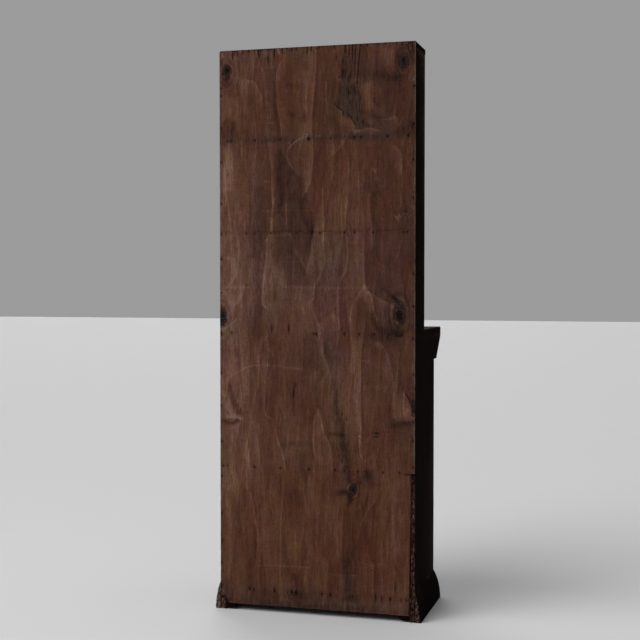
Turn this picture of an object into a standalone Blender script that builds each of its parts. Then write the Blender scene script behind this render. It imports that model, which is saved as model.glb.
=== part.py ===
"""Tall step-back storage cabinet.

Shallow open shelves stand on a deeper base with a slant-fronted drawer over a pair of panelled doors.
Metres, +Z up. The front faces -Y, and the origin is on the floor under the middle of the footprint.
A depth is a distance forward from the outer face of the back sheet.
"""

import math

import bmesh
import bpy
from mathutils import Matrix, Vector

# Overall sizes
WIDTH = 0.657
HEIGHT = 1.850
UPPER_DEPTH = 0.156
LOWER_DEPTH = 0.332
COUNTER_DEPTH = 0.456
GAP = 0.0003
EASE = 0.0008
MARGIN = 0.010

# Case boards
SIDE_T = 0.018
SHEET_T = 0.0045
TOP_T = 0.018
TOP_OVERHANG = 0.008
SHELF_T = 0.015
COUNTER_T = 0.021
COUNTER_EASE = 0.0020
HOUSING = 0.006
UPPER_SHELF_SETBACK = 0.002
LOWER_SHELF_SETBACK = 0.004

# Levels: the nail rows in the back sheet mark the middle of each board
COUNTER_TOP = 0.933
UPPER_SHELVES = {"upper_shelf_low": 1.246, "upper_shelf_high": 1.550}
LOWER_SHELVES = {"bottom_board": 0.071, "lower_shelf": 0.480}

# Back sheet, with a strip split off one edge and one corner worn away: (height, distance in from the edge)
SHEET_BOTTOM = 0.022
SHEET_TOP = 1.849
LOST_STRIP = [(0.479, 0.0), (0.474, 0.0110), (0.266, 0.0147), (0.105, 0.0166), (SHEET_BOTTOM, 0.0179)]
WORN_CORNER = [(SHEET_BOTTOM, 0.0290), (0.050, 0.0130), (0.098, 0.0)]

# Frieze: the ears of the side boards and the front of the drawer share one slanted, slightly round line
FRIEZE_BOTTOM = 0.826
FRIEZE_FOOT = (0.380, 0.830)
FRIEZE_HEAD = (COUNTER_DEPTH, 0.905)
FRIEZE_BULGE = 0.0015
FRIEZE_STEPS = 5
RAIL_T = 0.017
RAIL_BACK = 0.300
RAIL_SETBACK = 0.001
RUNNER_WIDE = 0.020

# Plinth: an arc that stands upright at the floor and dies into the case
PLINTH_H = 0.097
PLINTH_FLOOR_T = 0.0205
PLINTH_LIP_T = 0.0015
PLINTH_STEPS = 7
BASE_RAIL_T = 0.020
GLUE_BLOCK = 0.030
GLUE_BLOCK_FOOT = 0.006

# Doors: frames with haunched tenons, and fielded panels loose in their grooves
DOOR_T = 0.020
STILE = 0.048
FOOT_RAIL = 0.062
SIDE_CLEAR = 0.0015
MEETING_CLEAR = 0.0012
DOOR_CLEAR = 0.0025
GROOVE_WIDE = 0.006
GROOVE_DEEP = 0.008
TENON_LONG = 0.026
HAUNCH = 0.012
PANEL_PLAY = 0.001
FIELD_BORDER = 0.036
FIELD_STEP = 0.002
FIELD_SETBACK = 0.002

# Hinges
LEAF_T = 0.0012
LEAF_H = 0.056
LEAF_WIDE = 0.016
LEAF_APART = 0.0003
PIVOT_PROUD = 0.0034
CURL_R = 0.0030
CURL_STEPS = 11
CURL_SLIT = math.radians(10)
PIN_R = 0.0014
PIN_HEAD_R = 0.0023
PIN_HEAD_H = 0.0017
PIN_HEAD_RIM = 0.0012
PIN_SIDES = 8
HINGE_INSET = 0.110
KNUCKLE_CLEAR = 0.0003

# Knobs and the turn latch
KNOB_SIDES = 20
KNOB_R = 0.0145
KNOB_LONG = 0.030
KNOB_FOOT_R = 0.0090
KNOB_FOOT_H = 0.0025
KNOB_NECK_R = 0.0062
KNOB_NECK_H = 0.0085
KNOB_ARC_STEPS = 8
KNOB_BORE = 0.016
SPINDLE_R = 0.0028
SPINDLE_SIDES = 12
KNOB_LEVEL = 0.600
TONGUE_LONG = 0.036
TONGUE_WIDE = 0.010
TONGUE_T = 0.002
TONGUE_CLEAR = 0.0008

# Bolt on the left-hand door
BOLT_R = 0.0022
BOLT_LONG = 0.056
BOLT_TRAVEL = 0.008
BOLT_BELOW_TOP = 0.001
BOLT_STANDOFF = 0.0052
BOLT_PLAY = 0.0004
BOLT_SOCKET_PLAY = 0.0006
BOLT_SIDES = 10
BOLT_PLATE_WIDE = 0.014
BOLT_PLATE_T = 0.0012
BOLT_PLATE_ABOVE_FOOT = 0.002
BOLT_PLATE_BELOW_TIP = 0.001
STAPLE_WIDE = 0.009
STAPLE_H = 0.007
STAPLE_REACH = 0.0092
STAPLE_INSET = 0.001
THUMB_R = 0.0026
THUMB_LONG = 0.011

# Drawer
DRAWER_CLEAR = 0.0015
DRAWER_FRONT_T = 0.0255
DRAWER_LAP = 0.009
DRAWER_SIDE_T = 0.010
DRAWER_SIDE_H = 0.058
DRAWER_END = 0.030
DRAWER_BACK_T = 0.010
DRAWER_BACK_INSET = 0.004
DRAWER_BOTTOM_T = 0.005
DRAWER_BOTTOM_RISE = 0.006
DRAWER_GROOVE = 0.004
DRAWER_RUN_CLEAR = 0.0005
DRAWER_KNOB_X = 0.165
DRAWER_KNOB_LEVEL = 0.872
DRAWER_SETBACK = 0.0008
DRAWER_BOTTOM_OVERHANG = 0.003

# Sizes that follow from the ones above
HALF = WIDTH / 2
INSIDE = HALF - SIDE_T
BACK_Y = COUNTER_DEPTH / 2
BOARD_BACK = SHEET_T + GAP
COUNTER_UNDER = COUNTER_TOP - COUNTER_T
TOP_UNDER = HEIGHT - TOP_T
RAIL_TOP = FRIEZE_BOTTOM + RAIL_T
UPPER_SHELF_FRONT = UPPER_DEPTH - UPPER_SHELF_SETBACK
LOWER_SHELF_FRONT = LOWER_DEPTH - DOOR_T - LOWER_SHELF_SETBACK
DOOR_Z = (PLINTH_H + DOOR_CLEAR, FRIEZE_BOTTOM - DOOR_CLEAR)
DOOR_WIDE = INSIDE - SIDE_CLEAR - MEETING_CLEAR
DOOR_BACK = LOWER_DEPTH - DOOR_T
SIGHT = (STILE, DOOR_WIDE - STILE)
PIVOT_X = INSIDE - SIDE_CLEAR / 2
PIVOT_DEPTH = LOWER_DEPTH + PIVOT_PROUD
HINGE_LEVELS = {"foot": DOOR_Z[0] + HINGE_INSET, "top": DOOR_Z[1] - HINGE_INSET}
KNOB_CENTRE = Vector((MEETING_CLEAR + STILE / 2, BACK_Y - LOWER_DEPTH, KNOB_LEVEL))
HANDS = {"left": -1, "right": 1}

PIVOT_SHOWN = 0.030
SMOOTH_BELOW = math.radians(35)
ARRIS_ABOVE = math.radians(30)

FINISHES = {
    "dark_stain": ((0.030, 0.018, 0.012), 0.45, 0.0),
    "bare_wood": ((0.190, 0.095, 0.055), 0.75, 0.0),
    "back_sheet": ((0.140, 0.062, 0.036), 0.70, 0.0),
    "brass": ((0.300, 0.200, 0.080), 0.42, 1.0),
}


def clear_scene():
    for thing in list(bpy.data.objects):
        bpy.data.objects.remove(thing)


def finish(name):
    """The material of that name, made when it is first asked for."""
    if name in bpy.data.materials:
        return bpy.data.materials[name]
    colour, roughness, metallic = FINISHES[name]
    material = bpy.data.materials.new(name)
    material.use_nodes = True
    shader = material.node_tree.nodes["Principled BSDF"]
    shader.inputs["Base Color"].default_value = (*colour, 1.0)
    shader.inputs["Roughness"].default_value = roughness
    shader.inputs["Metallic"].default_value = metallic
    return material


def y_at(depth):
    return BACK_Y - depth


def span(a, b):
    return (min(a, b), max(a, b))


def grown(ends, by=GAP):
    return (ends[0] - by, ends[1] + by)


def around(middle, size):
    return (middle - size / 2, middle + size / 2)


def piece(name, bm, finish_name, smooth=False):
    """An object made from a bmesh in world coordinates, with its origin at its own middle."""
    bmesh.ops.recalc_face_normals(bm, faces=bm.faces)
    corners = [v.co for v in bm.verts]
    low = Vector([min(c[i] for c in corners) for i in range(3)])
    high = Vector([max(c[i] for c in corners) for i in range(3)])
    middle = (low + high) / 2
    bmesh.ops.translate(bm, verts=bm.verts, vec=-middle)
    mesh = bpy.data.meshes.new(name)
    bm.to_mesh(mesh)
    bm.free()
    made = bpy.data.objects.new(name, mesh)
    made.location = middle
    mesh.materials.append(finish(finish_name))
    bpy.context.scene.collection.objects.link(made)
    if smooth:
        mesh.shade_smooth()
        mesh.set_sharp_from_angle(angle=SMOOTH_BELOW)
    return made


def ease_edges(bm, width):
    """Takes the sharpness off the outer arrises, as a plane and sandpaper do, unless the width is nothing."""
    if not width:
        return
    bmesh.ops.recalc_face_normals(bm, faces=bm.faces)
    sharp = [e for e in bm.edges if e.calc_face_angle_signed(0) > ARRIS_ABOVE]
    bmesh.ops.bevel(bm, geom=sharp, offset=width, segments=1, affect="EDGES", clamp_overlap=True)


def add_block(bm, x, depth, z):
    """A box in bm from its ranges along X, in depth and in height."""
    size = (x[1] - x[0], depth[1] - depth[0], z[1] - z[0])
    middle = Vector((sum(x) / 2, y_at(sum(depth) / 2), sum(z) / 2))
    place = Matrix.Translation(middle) @ Matrix.Diagonal((*size, 1.0))
    bmesh.ops.create_cube(bm, size=1.0, matrix=place)


def block(name, x, depth, z, finish_name, ease=EASE):
    bm = bmesh.new()
    add_block(bm, x, depth, z)
    ease_edges(bm, ease)
    return piece(name, bm, finish_name)


def point_on(axis, point, along):
    """A world point of an outline: (depth, z) across X, (x, z) across the depth, (x, depth) across Z."""
    a, b = point
    if axis == "x":
        return Vector((along, y_at(a), b))
    if axis == "depth":
        return Vector((a, y_at(along), b))
    return Vector((a, y_at(b), along))


def add_prism(bm, axis, outline, start, end):
    """An outline drawn out from start to end along an axis; gives the corners of both ends."""
    near = [bm.verts.new(point_on(axis, p, start)) for p in outline]
    face = bm.faces.new(near)
    drawn = bmesh.ops.extrude_face_region(bm, geom=[face], use_keep_orig=True)
    far = [v for v in drawn["geom"] if isinstance(v, bmesh.types.BMVert)]
    shift = point_on(axis, outline[0], end) - point_on(axis, outline[0], start)
    bmesh.ops.translate(bm, verts=far, vec=shift)
    return near, far


def prism(name, axis, outline, start, end, finish_name, ease=EASE):
    bm = bmesh.new()
    add_prism(bm, axis, outline, start, end)
    ease_edges(bm, ease)
    return piece(name, bm, finish_name)


def pointing(origin, direction):
    """The place of a turned shape whose own +Z is to point along a direction."""
    return Matrix.Translation(origin) @ Vector(direction).to_track_quat("Z", "Y").to_matrix().to_4x4()


def add_turning(bm, profile, sides, place):
    """A turned shape in bm, from (radius, height) points that start and end on the axis, put in its place."""
    before = set(bm.verts)
    line = [bm.verts.new((radius, 0, height)) for radius, height in profile]
    edges = [bm.edges.new(pair) for pair in zip(line, line[1:])]
    bmesh.ops.spin(bm, geom=line + edges, cent=(0, 0, 0), axis=(0, 0, 1), angle=math.tau, steps=sides)
    turned = [v for v in bm.verts if v not in before]
    bmesh.ops.remove_doubles(bm, verts=turned, dist=1e-6)
    turned = [v for v in bm.verts if v not in before]
    bmesh.ops.transform(bm, matrix=place, verts=turned)


def rod_profile(radius, low, high):
    return [(0, low), (radius, low), (radius, high), (0, high)]


def apply_boolean(target, bm, operation):
    """Joins to an object, or cuts from it, the shape held in bm, and leaves no helper behind."""
    helper = piece("helper", bm, "bare_wood")
    modifier = target.modifiers.new("shape", "BOOLEAN")
    modifier.operation = operation
    modifier.solver = "EXACT"
    modifier.object = helper
    bpy.context.view_layer.update()
    graph = bpy.context.evaluated_depsgraph_get()
    shaped = bpy.data.meshes.new_from_object(target.evaluated_get(graph))
    target.modifiers.remove(modifier)
    shaped.materials.clear()
    shaped.materials.append(target.data.materials[0])
    target.data = shaped
    bpy.data.objects.remove(helper)


def cut_blocks(target, blocks):
    """Cuts boxes, each given as its X, depth and height ranges, from an object."""
    bm = bmesh.new()
    for x, depth, z in blocks:
        add_block(bm, x, depth, z)
    apply_boolean(target, bm, "DIFFERENCE")


def drill(target, origin, direction, radius, long, sides):
    """Drills a round hole from a point along a direction."""
    bm = bmesh.new()
    add_turning(bm, rod_profile(radius, 0, long), sides, pointing(origin, direction))
    apply_boolean(target, bm, "DIFFERENCE")


def pivot(name, location):
    """An empty that stands on a joint's axis and carries what moves about it."""
    empty = bpy.data.objects.new(name, None)
    empty.location = location
    empty.empty_display_size = PIVOT_SHOWN
    bpy.context.scene.collection.objects.link(empty)
    bpy.context.view_layer.update()
    return empty


def carry(parent, things):
    """Parents things to an object and leaves them where they are."""
    for thing in things:
        thing.parent = parent
        thing.matrix_parent_inverse = parent.matrix_world.inverted()


# The frieze line and the case


def frieze_line():
    """The frieze's line from its foot to its head, as (depth, z) points on a shallow arc."""
    foot = Vector(FRIEZE_FOOT)
    head = Vector(FRIEZE_HEAD)
    outward = Vector((head.y - foot.y, foot.x - head.x)).normalized()
    points = []
    for i in range(FRIEZE_STEPS + 1):
        t = i / FRIEZE_STEPS
        points.append(tuple(foot.lerp(head, t) + outward * FRIEZE_BULGE * 4 * t * (1 - t)))
    return points


def frieze_depth(z):
    """How far forward the frieze's line stands at a height."""
    points = frieze_line()
    for (d0, z0), (d1, z1) in zip(points, points[1:]):
        if z <= z1:
            return d0 + (d1 - d0) * (z - z0) / (z1 - z0)
    return points[-1][0]


def leaf_recess(hand, inward, level):
    """The shallow seat of a hinge leaf, cut in a side board (inward -1) or in a door's edge (inward 1)."""
    depth_of_seat = LEAF_APART / 2 + LEAF_T + GAP
    x = span(hand * (PIVOT_X - inward * depth_of_seat), hand * (PIVOT_X + inward * MARGIN))
    return (x, (LOWER_DEPTH - LEAF_WIDE - GAP, LOWER_DEPTH + MARGIN), grown(around(level, LEAF_H)))


def make_side(word, hand):
    """A side board: full height, cut back above the counter, with an ear beside the drawer."""
    ear_top = COUNTER_UNDER - GAP
    outline = [
        (BOARD_BACK, 0.0),
        (LOWER_DEPTH, 0.0),
        (LOWER_DEPTH, FRIEZE_BOTTOM),
        (FRIEZE_FOOT[0], FRIEZE_BOTTOM),
        *frieze_line(),
        (COUNTER_DEPTH, ear_top),
        (UPPER_DEPTH, ear_top),
        (UPPER_DEPTH, TOP_UNDER - GAP),
        (BOARD_BACK, TOP_UNDER - GAP),
    ]
    board = prism(f"side_board_{word}", "x", outline, *span(hand * INSIDE, hand * HALF), "dark_stain")
    reach = span(hand * (INSIDE - MARGIN), hand * (INSIDE + HOUSING))
    from_back = BOARD_BACK - MARGIN
    cuts = [(reach, (from_back, UPPER_DEPTH + MARGIN), grown((COUNTER_UNDER, COUNTER_TOP)))]
    for levels, front in ((UPPER_SHELVES, UPPER_SHELF_FRONT), (LOWER_SHELVES, LOWER_SHELF_FRONT)):
        for level in levels.values():
            cuts.append((reach, (from_back, front + GAP), grown(around(level, SHELF_T))))
    cuts += [leaf_recess(hand, -1, level) for level in HINGE_LEVELS.values()]
    cut_blocks(board, cuts)


def make_back_sheet():
    """The thin plywood back, nailed over the edges of the case boards."""
    lost = [(-HALF + inward, z) for z, inward in LOST_STRIP]
    worn = [(HALF - inward, z) for z, inward in WORN_CORNER]
    outline = [(HALF, SHEET_TOP), (-HALF, SHEET_TOP), *lost, *worn]
    prism("back_sheet", "depth", outline, 0.0, SHEET_T, "back_sheet", ease=0.0)


def make_shelves():
    end = INSIDE + HOUSING - GAP
    for levels, front in ((UPPER_SHELVES, UPPER_SHELF_FRONT), (LOWER_SHELVES, LOWER_SHELF_FRONT)):
        for name, level in levels.items():
            block(name, (-end, end), (BOARD_BACK, front), around(level, SHELF_T), "bare_wood")


def make_counter():
    """The counter: housed between the upper sides behind, and full width over the ears in front."""
    end = INSIDE + HOUSING - GAP
    shoulder = UPPER_DEPTH + GAP
    outline = [
        (-HALF, COUNTER_DEPTH),
        (-HALF, shoulder),
        (-end, shoulder),
        (-end, BOARD_BACK),
        (end, BOARD_BACK),
        (end, shoulder),
        (HALF, shoulder),
        (HALF, COUNTER_DEPTH),
    ]
    prism("counter_board", "z", outline, COUNTER_UNDER, COUNTER_TOP, "dark_stain", COUNTER_EASE)


def make_top():
    depth = (BOARD_BACK, UPPER_DEPTH + TOP_OVERHANG)
    block("top_board", (-HALF, HALF), depth, (TOP_UNDER, HEIGHT), "dark_stain", COUNTER_EASE)


def make_drawer_rail():
    """The rail between drawer and doors, with the socket for the bolt, and the runners behind it."""
    outline = [
        (RAIL_BACK, FRIEZE_BOTTOM),
        (FRIEZE_FOOT[0] - RAIL_SETBACK, FRIEZE_BOTTOM),
        (FRIEZE_FOOT[0] - RAIL_SETBACK, FRIEZE_FOOT[1]),
        (frieze_depth(RAIL_TOP) - RAIL_SETBACK, RAIL_TOP),
        (RAIL_BACK, RAIL_TOP),
    ]
    rail = prism("drawer_rail", "x", outline, -INSIDE + GAP, INSIDE - GAP, "dark_stain")
    socket = BOLT_R + BOLT_SOCKET_PLAY
    centre = bolt_axis(FRIEZE_BOTTOM)
    depth = BACK_Y - centre.y
    socket_z = (FRIEZE_BOTTOM - MARGIN, FRIEZE_BOTTOM + BOLT_TRAVEL)
    cut_blocks(rail, [(grown((centre.x, centre.x), socket), grown((depth, depth), socket), socket_z)])
    for word, hand in HANDS.items():
        across = span(hand * (INSIDE - GAP), hand * (INSIDE - RUNNER_WIDE))
        depth = (BOARD_BACK, RAIL_BACK - GAP)
        block(f"drawer_runner_{word}", across, depth, (FRIEZE_BOTTOM, RAIL_TOP), "bare_wood")


def plinth_section():
    """(distance out from the case, z) points round the moulding's section."""
    drop = PLINTH_FLOOR_T - PLINTH_LIP_T
    radius = (PLINTH_H**2 + drop**2) / (2 * drop)
    face = []
    for i in range(PLINTH_STEPS + 1):
        z = PLINTH_H * i / PLINTH_STEPS
        face.append((PLINTH_FLOOR_T - radius + math.sqrt(radius**2 - z**2), z))
    return [(GAP, 0.0), *face, (GAP, PLINTH_H)]


def make_plinth():
    """Three mouldings round the foot of the case, mitred at the front corners and cut square behind."""
    section = plinth_section()
    bm = bmesh.new()
    near, far = add_prism(bm, "x", [(LOWER_DEPTH + out, z) for out, z in section], -HALF, HALF)
    for corners, hand in ((near, -1), (far, 1)):
        for v in corners:
            out = y_at(LOWER_DEPTH) - v.co.y
            v.co.x += hand * (out - GAP)
    piece("plinth_front", bm, "dark_stain")
    for word, hand in HANDS.items():
        bm = bmesh.new()
        outline = [(hand * (HALF + out), z) for out, z in section]
        near, far = add_prism(bm, "depth", outline, BOARD_BACK, LOWER_DEPTH)
        for v in far:
            out = abs(v.co.x) - HALF
            v.co.y -= out - GAP
        piece(f"plinth_{word}", bm, "dark_stain")


def make_base():
    """The rail behind the front plinth, and the blocks glued in the corners under the bottom board."""
    x = (-INSIDE + GAP, INSIDE - GAP)
    block("base_rail", x, (LOWER_DEPTH - BASE_RAIL_T, LOWER_DEPTH), (0.0, PLINTH_H), "dark_stain")
    z = (GLUE_BLOCK_FOOT, LOWER_SHELVES["bottom_board"] - SHELF_T / 2 - GAP)
    front = LOWER_DEPTH - BASE_RAIL_T - GAP
    for word, hand in HANDS.items():
        across = span(hand * (INSIDE - GAP), hand * (INSIDE - GLUE_BLOCK))
        block(f"glue_block_back_{word}", across, (BOARD_BACK, BOARD_BACK + GLUE_BLOCK), z, "bare_wood")
        block(f"glue_block_front_{word}", across, (front - GLUE_BLOCK, front), z, "bare_wood")


# Doors: u runs across a door from its hinge edge to its meeting edge


def door_x(hand, u):
    return span(hand * (INSIDE - SIDE_CLEAR - u[0]), hand * (INSIDE - SIDE_CLEAR - u[1]))


def grooved_section(outer, inner):
    """A frame section as (place, depth) points, from its outer edge round to the grooved inner one."""
    step = math.copysign(GROOVE_DEEP, outer - inner)
    low, high = panel_groove()
    return [
        (outer, DOOR_BACK),
        (outer, LOWER_DEPTH),
        (inner, LOWER_DEPTH),
        (inner, high),
        (inner + step, high),
        (inner + step, low),
        (inner, low),
        (inner, DOOR_BACK),
    ]


def panel_groove():
    return around((DOOR_BACK + LOWER_DEPTH) / 2, GROOVE_WIDE)


def rail_heights():
    """Each rail's range of heights, and the narrower range that its tenon keeps beside the haunch."""
    low, high = DOOR_Z
    return {
        "foot_rail": ((low, low + FOOT_RAIL), (low + HAUNCH, low + FOOT_RAIL - GROOVE_DEEP)),
        "top_rail": ((high - STILE, high), (high - STILE + GROOVE_DEEP, high - HAUNCH)),
    }


def make_stile(name, hand, outer, inner):
    """A stile grooved from end to end and mortised for both rails; the hinge leaves are let into one edge."""
    edge = hand * (INSIDE - SIDE_CLEAR)
    outline = grooved_section(edge - hand * outer, edge - hand * inner)
    stile = prism(name, "z", outline, *DOOR_Z, "dark_stain")
    outward = math.copysign(1, outer - inner)
    reach = span(inner - outward * MARGIN, inner + outward * (TENON_LONG + GAP))
    mortise_depth = grown(panel_groove(), GAP / 2)
    for z, tenon_z in rail_heights().values():
        cut_blocks(stile, [(door_x(hand, reach), mortise_depth, grown(tenon_z))])
    if outer == 0:
        cut_blocks(stile, [leaf_recess(hand, 1, level) for level in HINGE_LEVELS.values()])
    return stile


def make_rail(name, hand, z, tenon_z):
    """A rail grooved in its inner edge, with a tenon and a short haunch sawn at each end."""
    is_top = z[1] == DOOR_Z[1]
    outer, inner = (z[1], z[0]) if is_top else (z[0], z[1])
    outline = [(depth, height) for height, depth in grooved_section(outer, inner)]
    rail = prism(name, "x", outline, *door_x(hand, grown(SIGHT, TENON_LONG)), "dark_stain")
    tenon_back, tenon_front = grown(panel_groove(), -GAP / 2)
    above = (tenon_z[1], z[1] + MARGIN)
    below = (z[0] - MARGIN, tenon_z[0])
    haunched, bare = (above, below) if is_top else (below, above)
    whole_depth = (DOOR_BACK - MARGIN, LOWER_DEPTH + MARGIN)
    for edge, outward in ((SIGHT[0], -1), (SIGHT[1], 1)):
        past = edge + outward * (TENON_LONG + MARGIN)
        shoulder = door_x(hand, span(edge - outward * GAP, past))
        haunch_end = door_x(hand, span(edge + outward * (GROOVE_DEEP - GAP), past))
        cut_blocks(rail, [(shoulder, (tenon_front, whole_depth[1]), grown(z, MARGIN))])
        cut_blocks(rail, [(shoulder, (whole_depth[0], tenon_back), grown(z, MARGIN))])
        cut_blocks(rail, [(haunch_end, whole_depth, haunched)])
        cut_blocks(rail, [(shoulder, whole_depth, bare)])
    return rail


def make_panel(name, hand):
    """A fielded panel: a flat tongue in the groove, a sloping border, a small step and the raised field."""
    tongue = grown(panel_groove(), -GAP)
    field = LOWER_DEPTH - FIELD_SETBACK
    reach = GROOVE_DEEP - PANEL_PLAY
    x = door_x(hand, grown(SIGHT, reach))
    z = (DOOR_Z[0] + FOOT_RAIL - reach, DOOR_Z[1] - STILE + reach)
    rings = [
        (0, tongue[0]),
        (0, tongue[1]),
        (GROOVE_DEEP, tongue[1]),
        (GROOVE_DEEP + FIELD_BORDER, field - FIELD_STEP),
        (GROOVE_DEEP + FIELD_BORDER, field),
    ]
    bm = bmesh.new()
    loops = []
    for inset, depth in rings:
        xs = grown(x, -inset)
        zs = grown(z, -inset)
        corners = ((xs[0], zs[0]), (xs[1], zs[0]), (xs[1], zs[1]), (xs[0], zs[1]))
        loops.append([bm.verts.new(point_on("depth", corner, depth)) for corner in corners])
    bm.faces.new(loops[0])
    bm.faces.new(loops[-1])
    for lower, upper in zip(loops, loops[1:]):
        for i in range(len(lower)):
            j = (i + 1) % len(lower)
            bm.faces.new((lower[i], lower[j], upper[j], upper[i]))
    return piece(name, bm, "dark_stain")


# Hinges


def leaf_section(hand, way):
    """A hinge leaf seen from above: a flat plate whose front edge is rolled round the pin.

    way is 1 for the leaf on the side board and -1 for the leaf on the door's edge.
    """
    near = LEAF_APART / 2
    far = near + LEAF_T
    bore = CURL_R - LEAF_T
    start = -math.acos(far / CURL_R)
    stop = 1.5 * math.pi - CURL_SLIT
    inner_stop = -math.acos(near / bore)
    points = [(far, -LEAF_WIDE - PIVOT_PROUD)]
    for radius, first, last in ((CURL_R, start, stop), (bore, stop, inner_stop)):
        for i in range(CURL_STEPS + 1):
            angle = first + (last - first) * i / CURL_STEPS
            points.append((radius * math.cos(angle), radius * math.sin(angle)))
    points.append((near, -LEAF_WIDE - PIVOT_PROUD))
    return [(hand * (PIVOT_X + way * x), PIVOT_DEPTH + d) for x, d in points]


def make_leaf(name, hand, way, level):
    """One leaf: the case's keeps its outer two knuckles, and the door's keeps the middle one."""
    low, high = around(level, LEAF_H)
    leaf = prism(name, "z", leaf_section(hand, way), low, high, "brass", ease=0.0)
    across = grown((hand * PIVOT_X, hand * PIVOT_X), CURL_R + MARGIN)
    in_front = (LOWER_DEPTH, PIVOT_DEPTH + MARGIN)
    middle = (low + LEAF_H / 3, high - LEAF_H / 3)
    if way > 0:
        cut_blocks(leaf, [(across, in_front, grown(middle, KNUCKLE_CLEAR / 2))])
    else:
        cut_blocks(leaf, [(across, in_front, (low - MARGIN, middle[0] + KNUCKLE_CLEAR / 2))])
        cut_blocks(leaf, [(across, in_front, (middle[1] - KNUCKLE_CLEAR / 2, high + MARGIN))])
    return leaf


def make_pin(name, hand, level):
    """A hinge pin with a small head at both ends."""
    half = LEAF_H / 2 + GAP
    shoulder = half + PIN_HEAD_RIM
    side = [(PIN_R, half), (PIN_HEAD_R, half), (PIN_HEAD_R, shoulder), (0, half + PIN_HEAD_H)]
    profile = [(radius, -height) for radius, height in reversed(side)] + side
    bm = bmesh.new()
    add_turning(bm, profile, PIN_SIDES, Matrix.Translation((hand * PIVOT_X, y_at(PIVOT_DEPTH), level)))
    piece(name, bm, "brass", smooth=True)


# Knobs, the turn latch and the bolt


def knob_profile():
    """The outside of a turned knob: a round foot, a hollow neck and a flattened round head."""
    points = [(KNOB_FOOT_R, 0), (KNOB_FOOT_R, KNOB_FOOT_H), (KNOB_NECK_R, KNOB_FOOT_H + KNOB_NECK_H / 3)]
    head_low = KNOB_FOOT_H + KNOB_NECK_H
    middle = (head_low + KNOB_LONG) / 2
    half = (KNOB_LONG - head_low) / 2
    start = -math.acos(KNOB_NECK_R / KNOB_R)
    for i in range(KNOB_ARC_STEPS):
        angle = start + (math.pi / 2 - start) * i / KNOB_ARC_STEPS
        points.append((KNOB_R * math.cos(angle), middle + half * math.sin(angle)))
    return [*points, (0, KNOB_LONG)]


def make_latch(meeting_stile):
    """A turned knob on a spindle through the right-hand door, with the tongue that it turns behind."""
    forward = Vector((0, -1, 0))
    place = pointing(KNOB_CENTRE + forward * GAP, forward)
    bore_r = SPINDLE_R + GAP
    profile = [(0, KNOB_BORE), (bore_r, KNOB_BORE), (bore_r, 0), *knob_profile()]
    bm = bmesh.new()
    add_turning(bm, profile, KNOB_SIDES, place)
    knob = piece("latch_knob", bm, "bare_wood", smooth=True)
    bm = bmesh.new()
    inner_end = -DOOR_T - TONGUE_CLEAR - TONGUE_T / 2
    spindle = rod_profile(SPINDLE_R, inner_end, KNOB_BORE - GAP)
    add_turning(bm, spindle, SPINDLE_SIDES, pointing(KNOB_CENTRE, forward))
    latch = piece("latch_spindle", bm, "brass")
    bm = bmesh.new()
    tongue_front = DOOR_BACK - TONGUE_CLEAR
    tongue_z = (KNOB_LEVEL - TONGUE_LONG, KNOB_LEVEL + TONGUE_WIDE / 2)
    add_block(bm, around(KNOB_CENTRE.x, TONGUE_WIDE), (tongue_front - TONGUE_T, tongue_front), tongue_z)
    apply_boolean(latch, bm, "UNION")
    start = KNOB_CENTRE + forward * MARGIN
    drill(meeting_stile, start, -forward, SPINDLE_R + GAP, DOOR_T + 2 * MARGIN, SPINDLE_SIDES)
    axle = pivot("latch_pivot", KNOB_CENTRE)
    carry(axle, [knob, latch])
    return axle


def bolt_axis(z):
    """A point on the bolt's axis, which runs up behind the left-hand door's meeting stile."""
    return Vector((-KNOB_CENTRE.x, y_at(DOOR_BACK - BOLT_STANDOFF), z))


def make_bolt():
    """A small bolt at the top of the left-hand door: a rod with a thumb piece, in two staples on a plate."""
    top = DOOR_Z[1] - BOLT_BELOW_TOP
    foot = bolt_axis(top - BOLT_LONG)
    bm = bmesh.new()
    add_turning(bm, rod_profile(BOLT_R, 0, BOLT_LONG), BOLT_SIDES, Matrix.Translation(foot))
    rod = piece("bolt_rod", bm, "brass")
    bm = bmesh.new()
    thumb_at = foot + Vector((0, 0, BOLT_LONG / 2))
    add_turning(bm, rod_profile(THUMB_R, 0, THUMB_LONG), BOLT_SIDES, pointing(thumb_at, (0, 1, 0)))
    apply_boolean(rod, bm, "UNION")
    plate_front = DOOR_BACK - GAP
    plate_z = (foot.z + BOLT_PLATE_ABOVE_FOOT, top - BOLT_PLATE_BELOW_TIP)
    bm = bmesh.new()
    add_block(bm, around(foot.x, BOLT_PLATE_WIDE), (plate_front - BOLT_PLATE_T, plate_front), plate_z)
    guide = piece("bolt_guide", bm, "brass")
    bm = bmesh.new()
    staple_depth = (DOOR_BACK - STAPLE_REACH, plate_front - BOLT_PLATE_T / 2)
    for low in (plate_z[0] + STAPLE_INSET, plate_z[1] - STAPLE_H - STAPLE_INSET):
        add_block(bm, around(foot.x, STAPLE_WIDE), staple_depth, (low, low + STAPLE_H))
    apply_boolean(guide, bm, "UNION")
    below = foot - Vector((0, 0, MARGIN))
    drill(guide, below, (0, 0, 1), BOLT_R + BOLT_PLAY, BOLT_LONG + 2 * MARGIN, BOLT_SIDES)
    slide = pivot("bolt_slide", foot)
    carry(slide, [rod])
    return [slide, guide]


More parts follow.
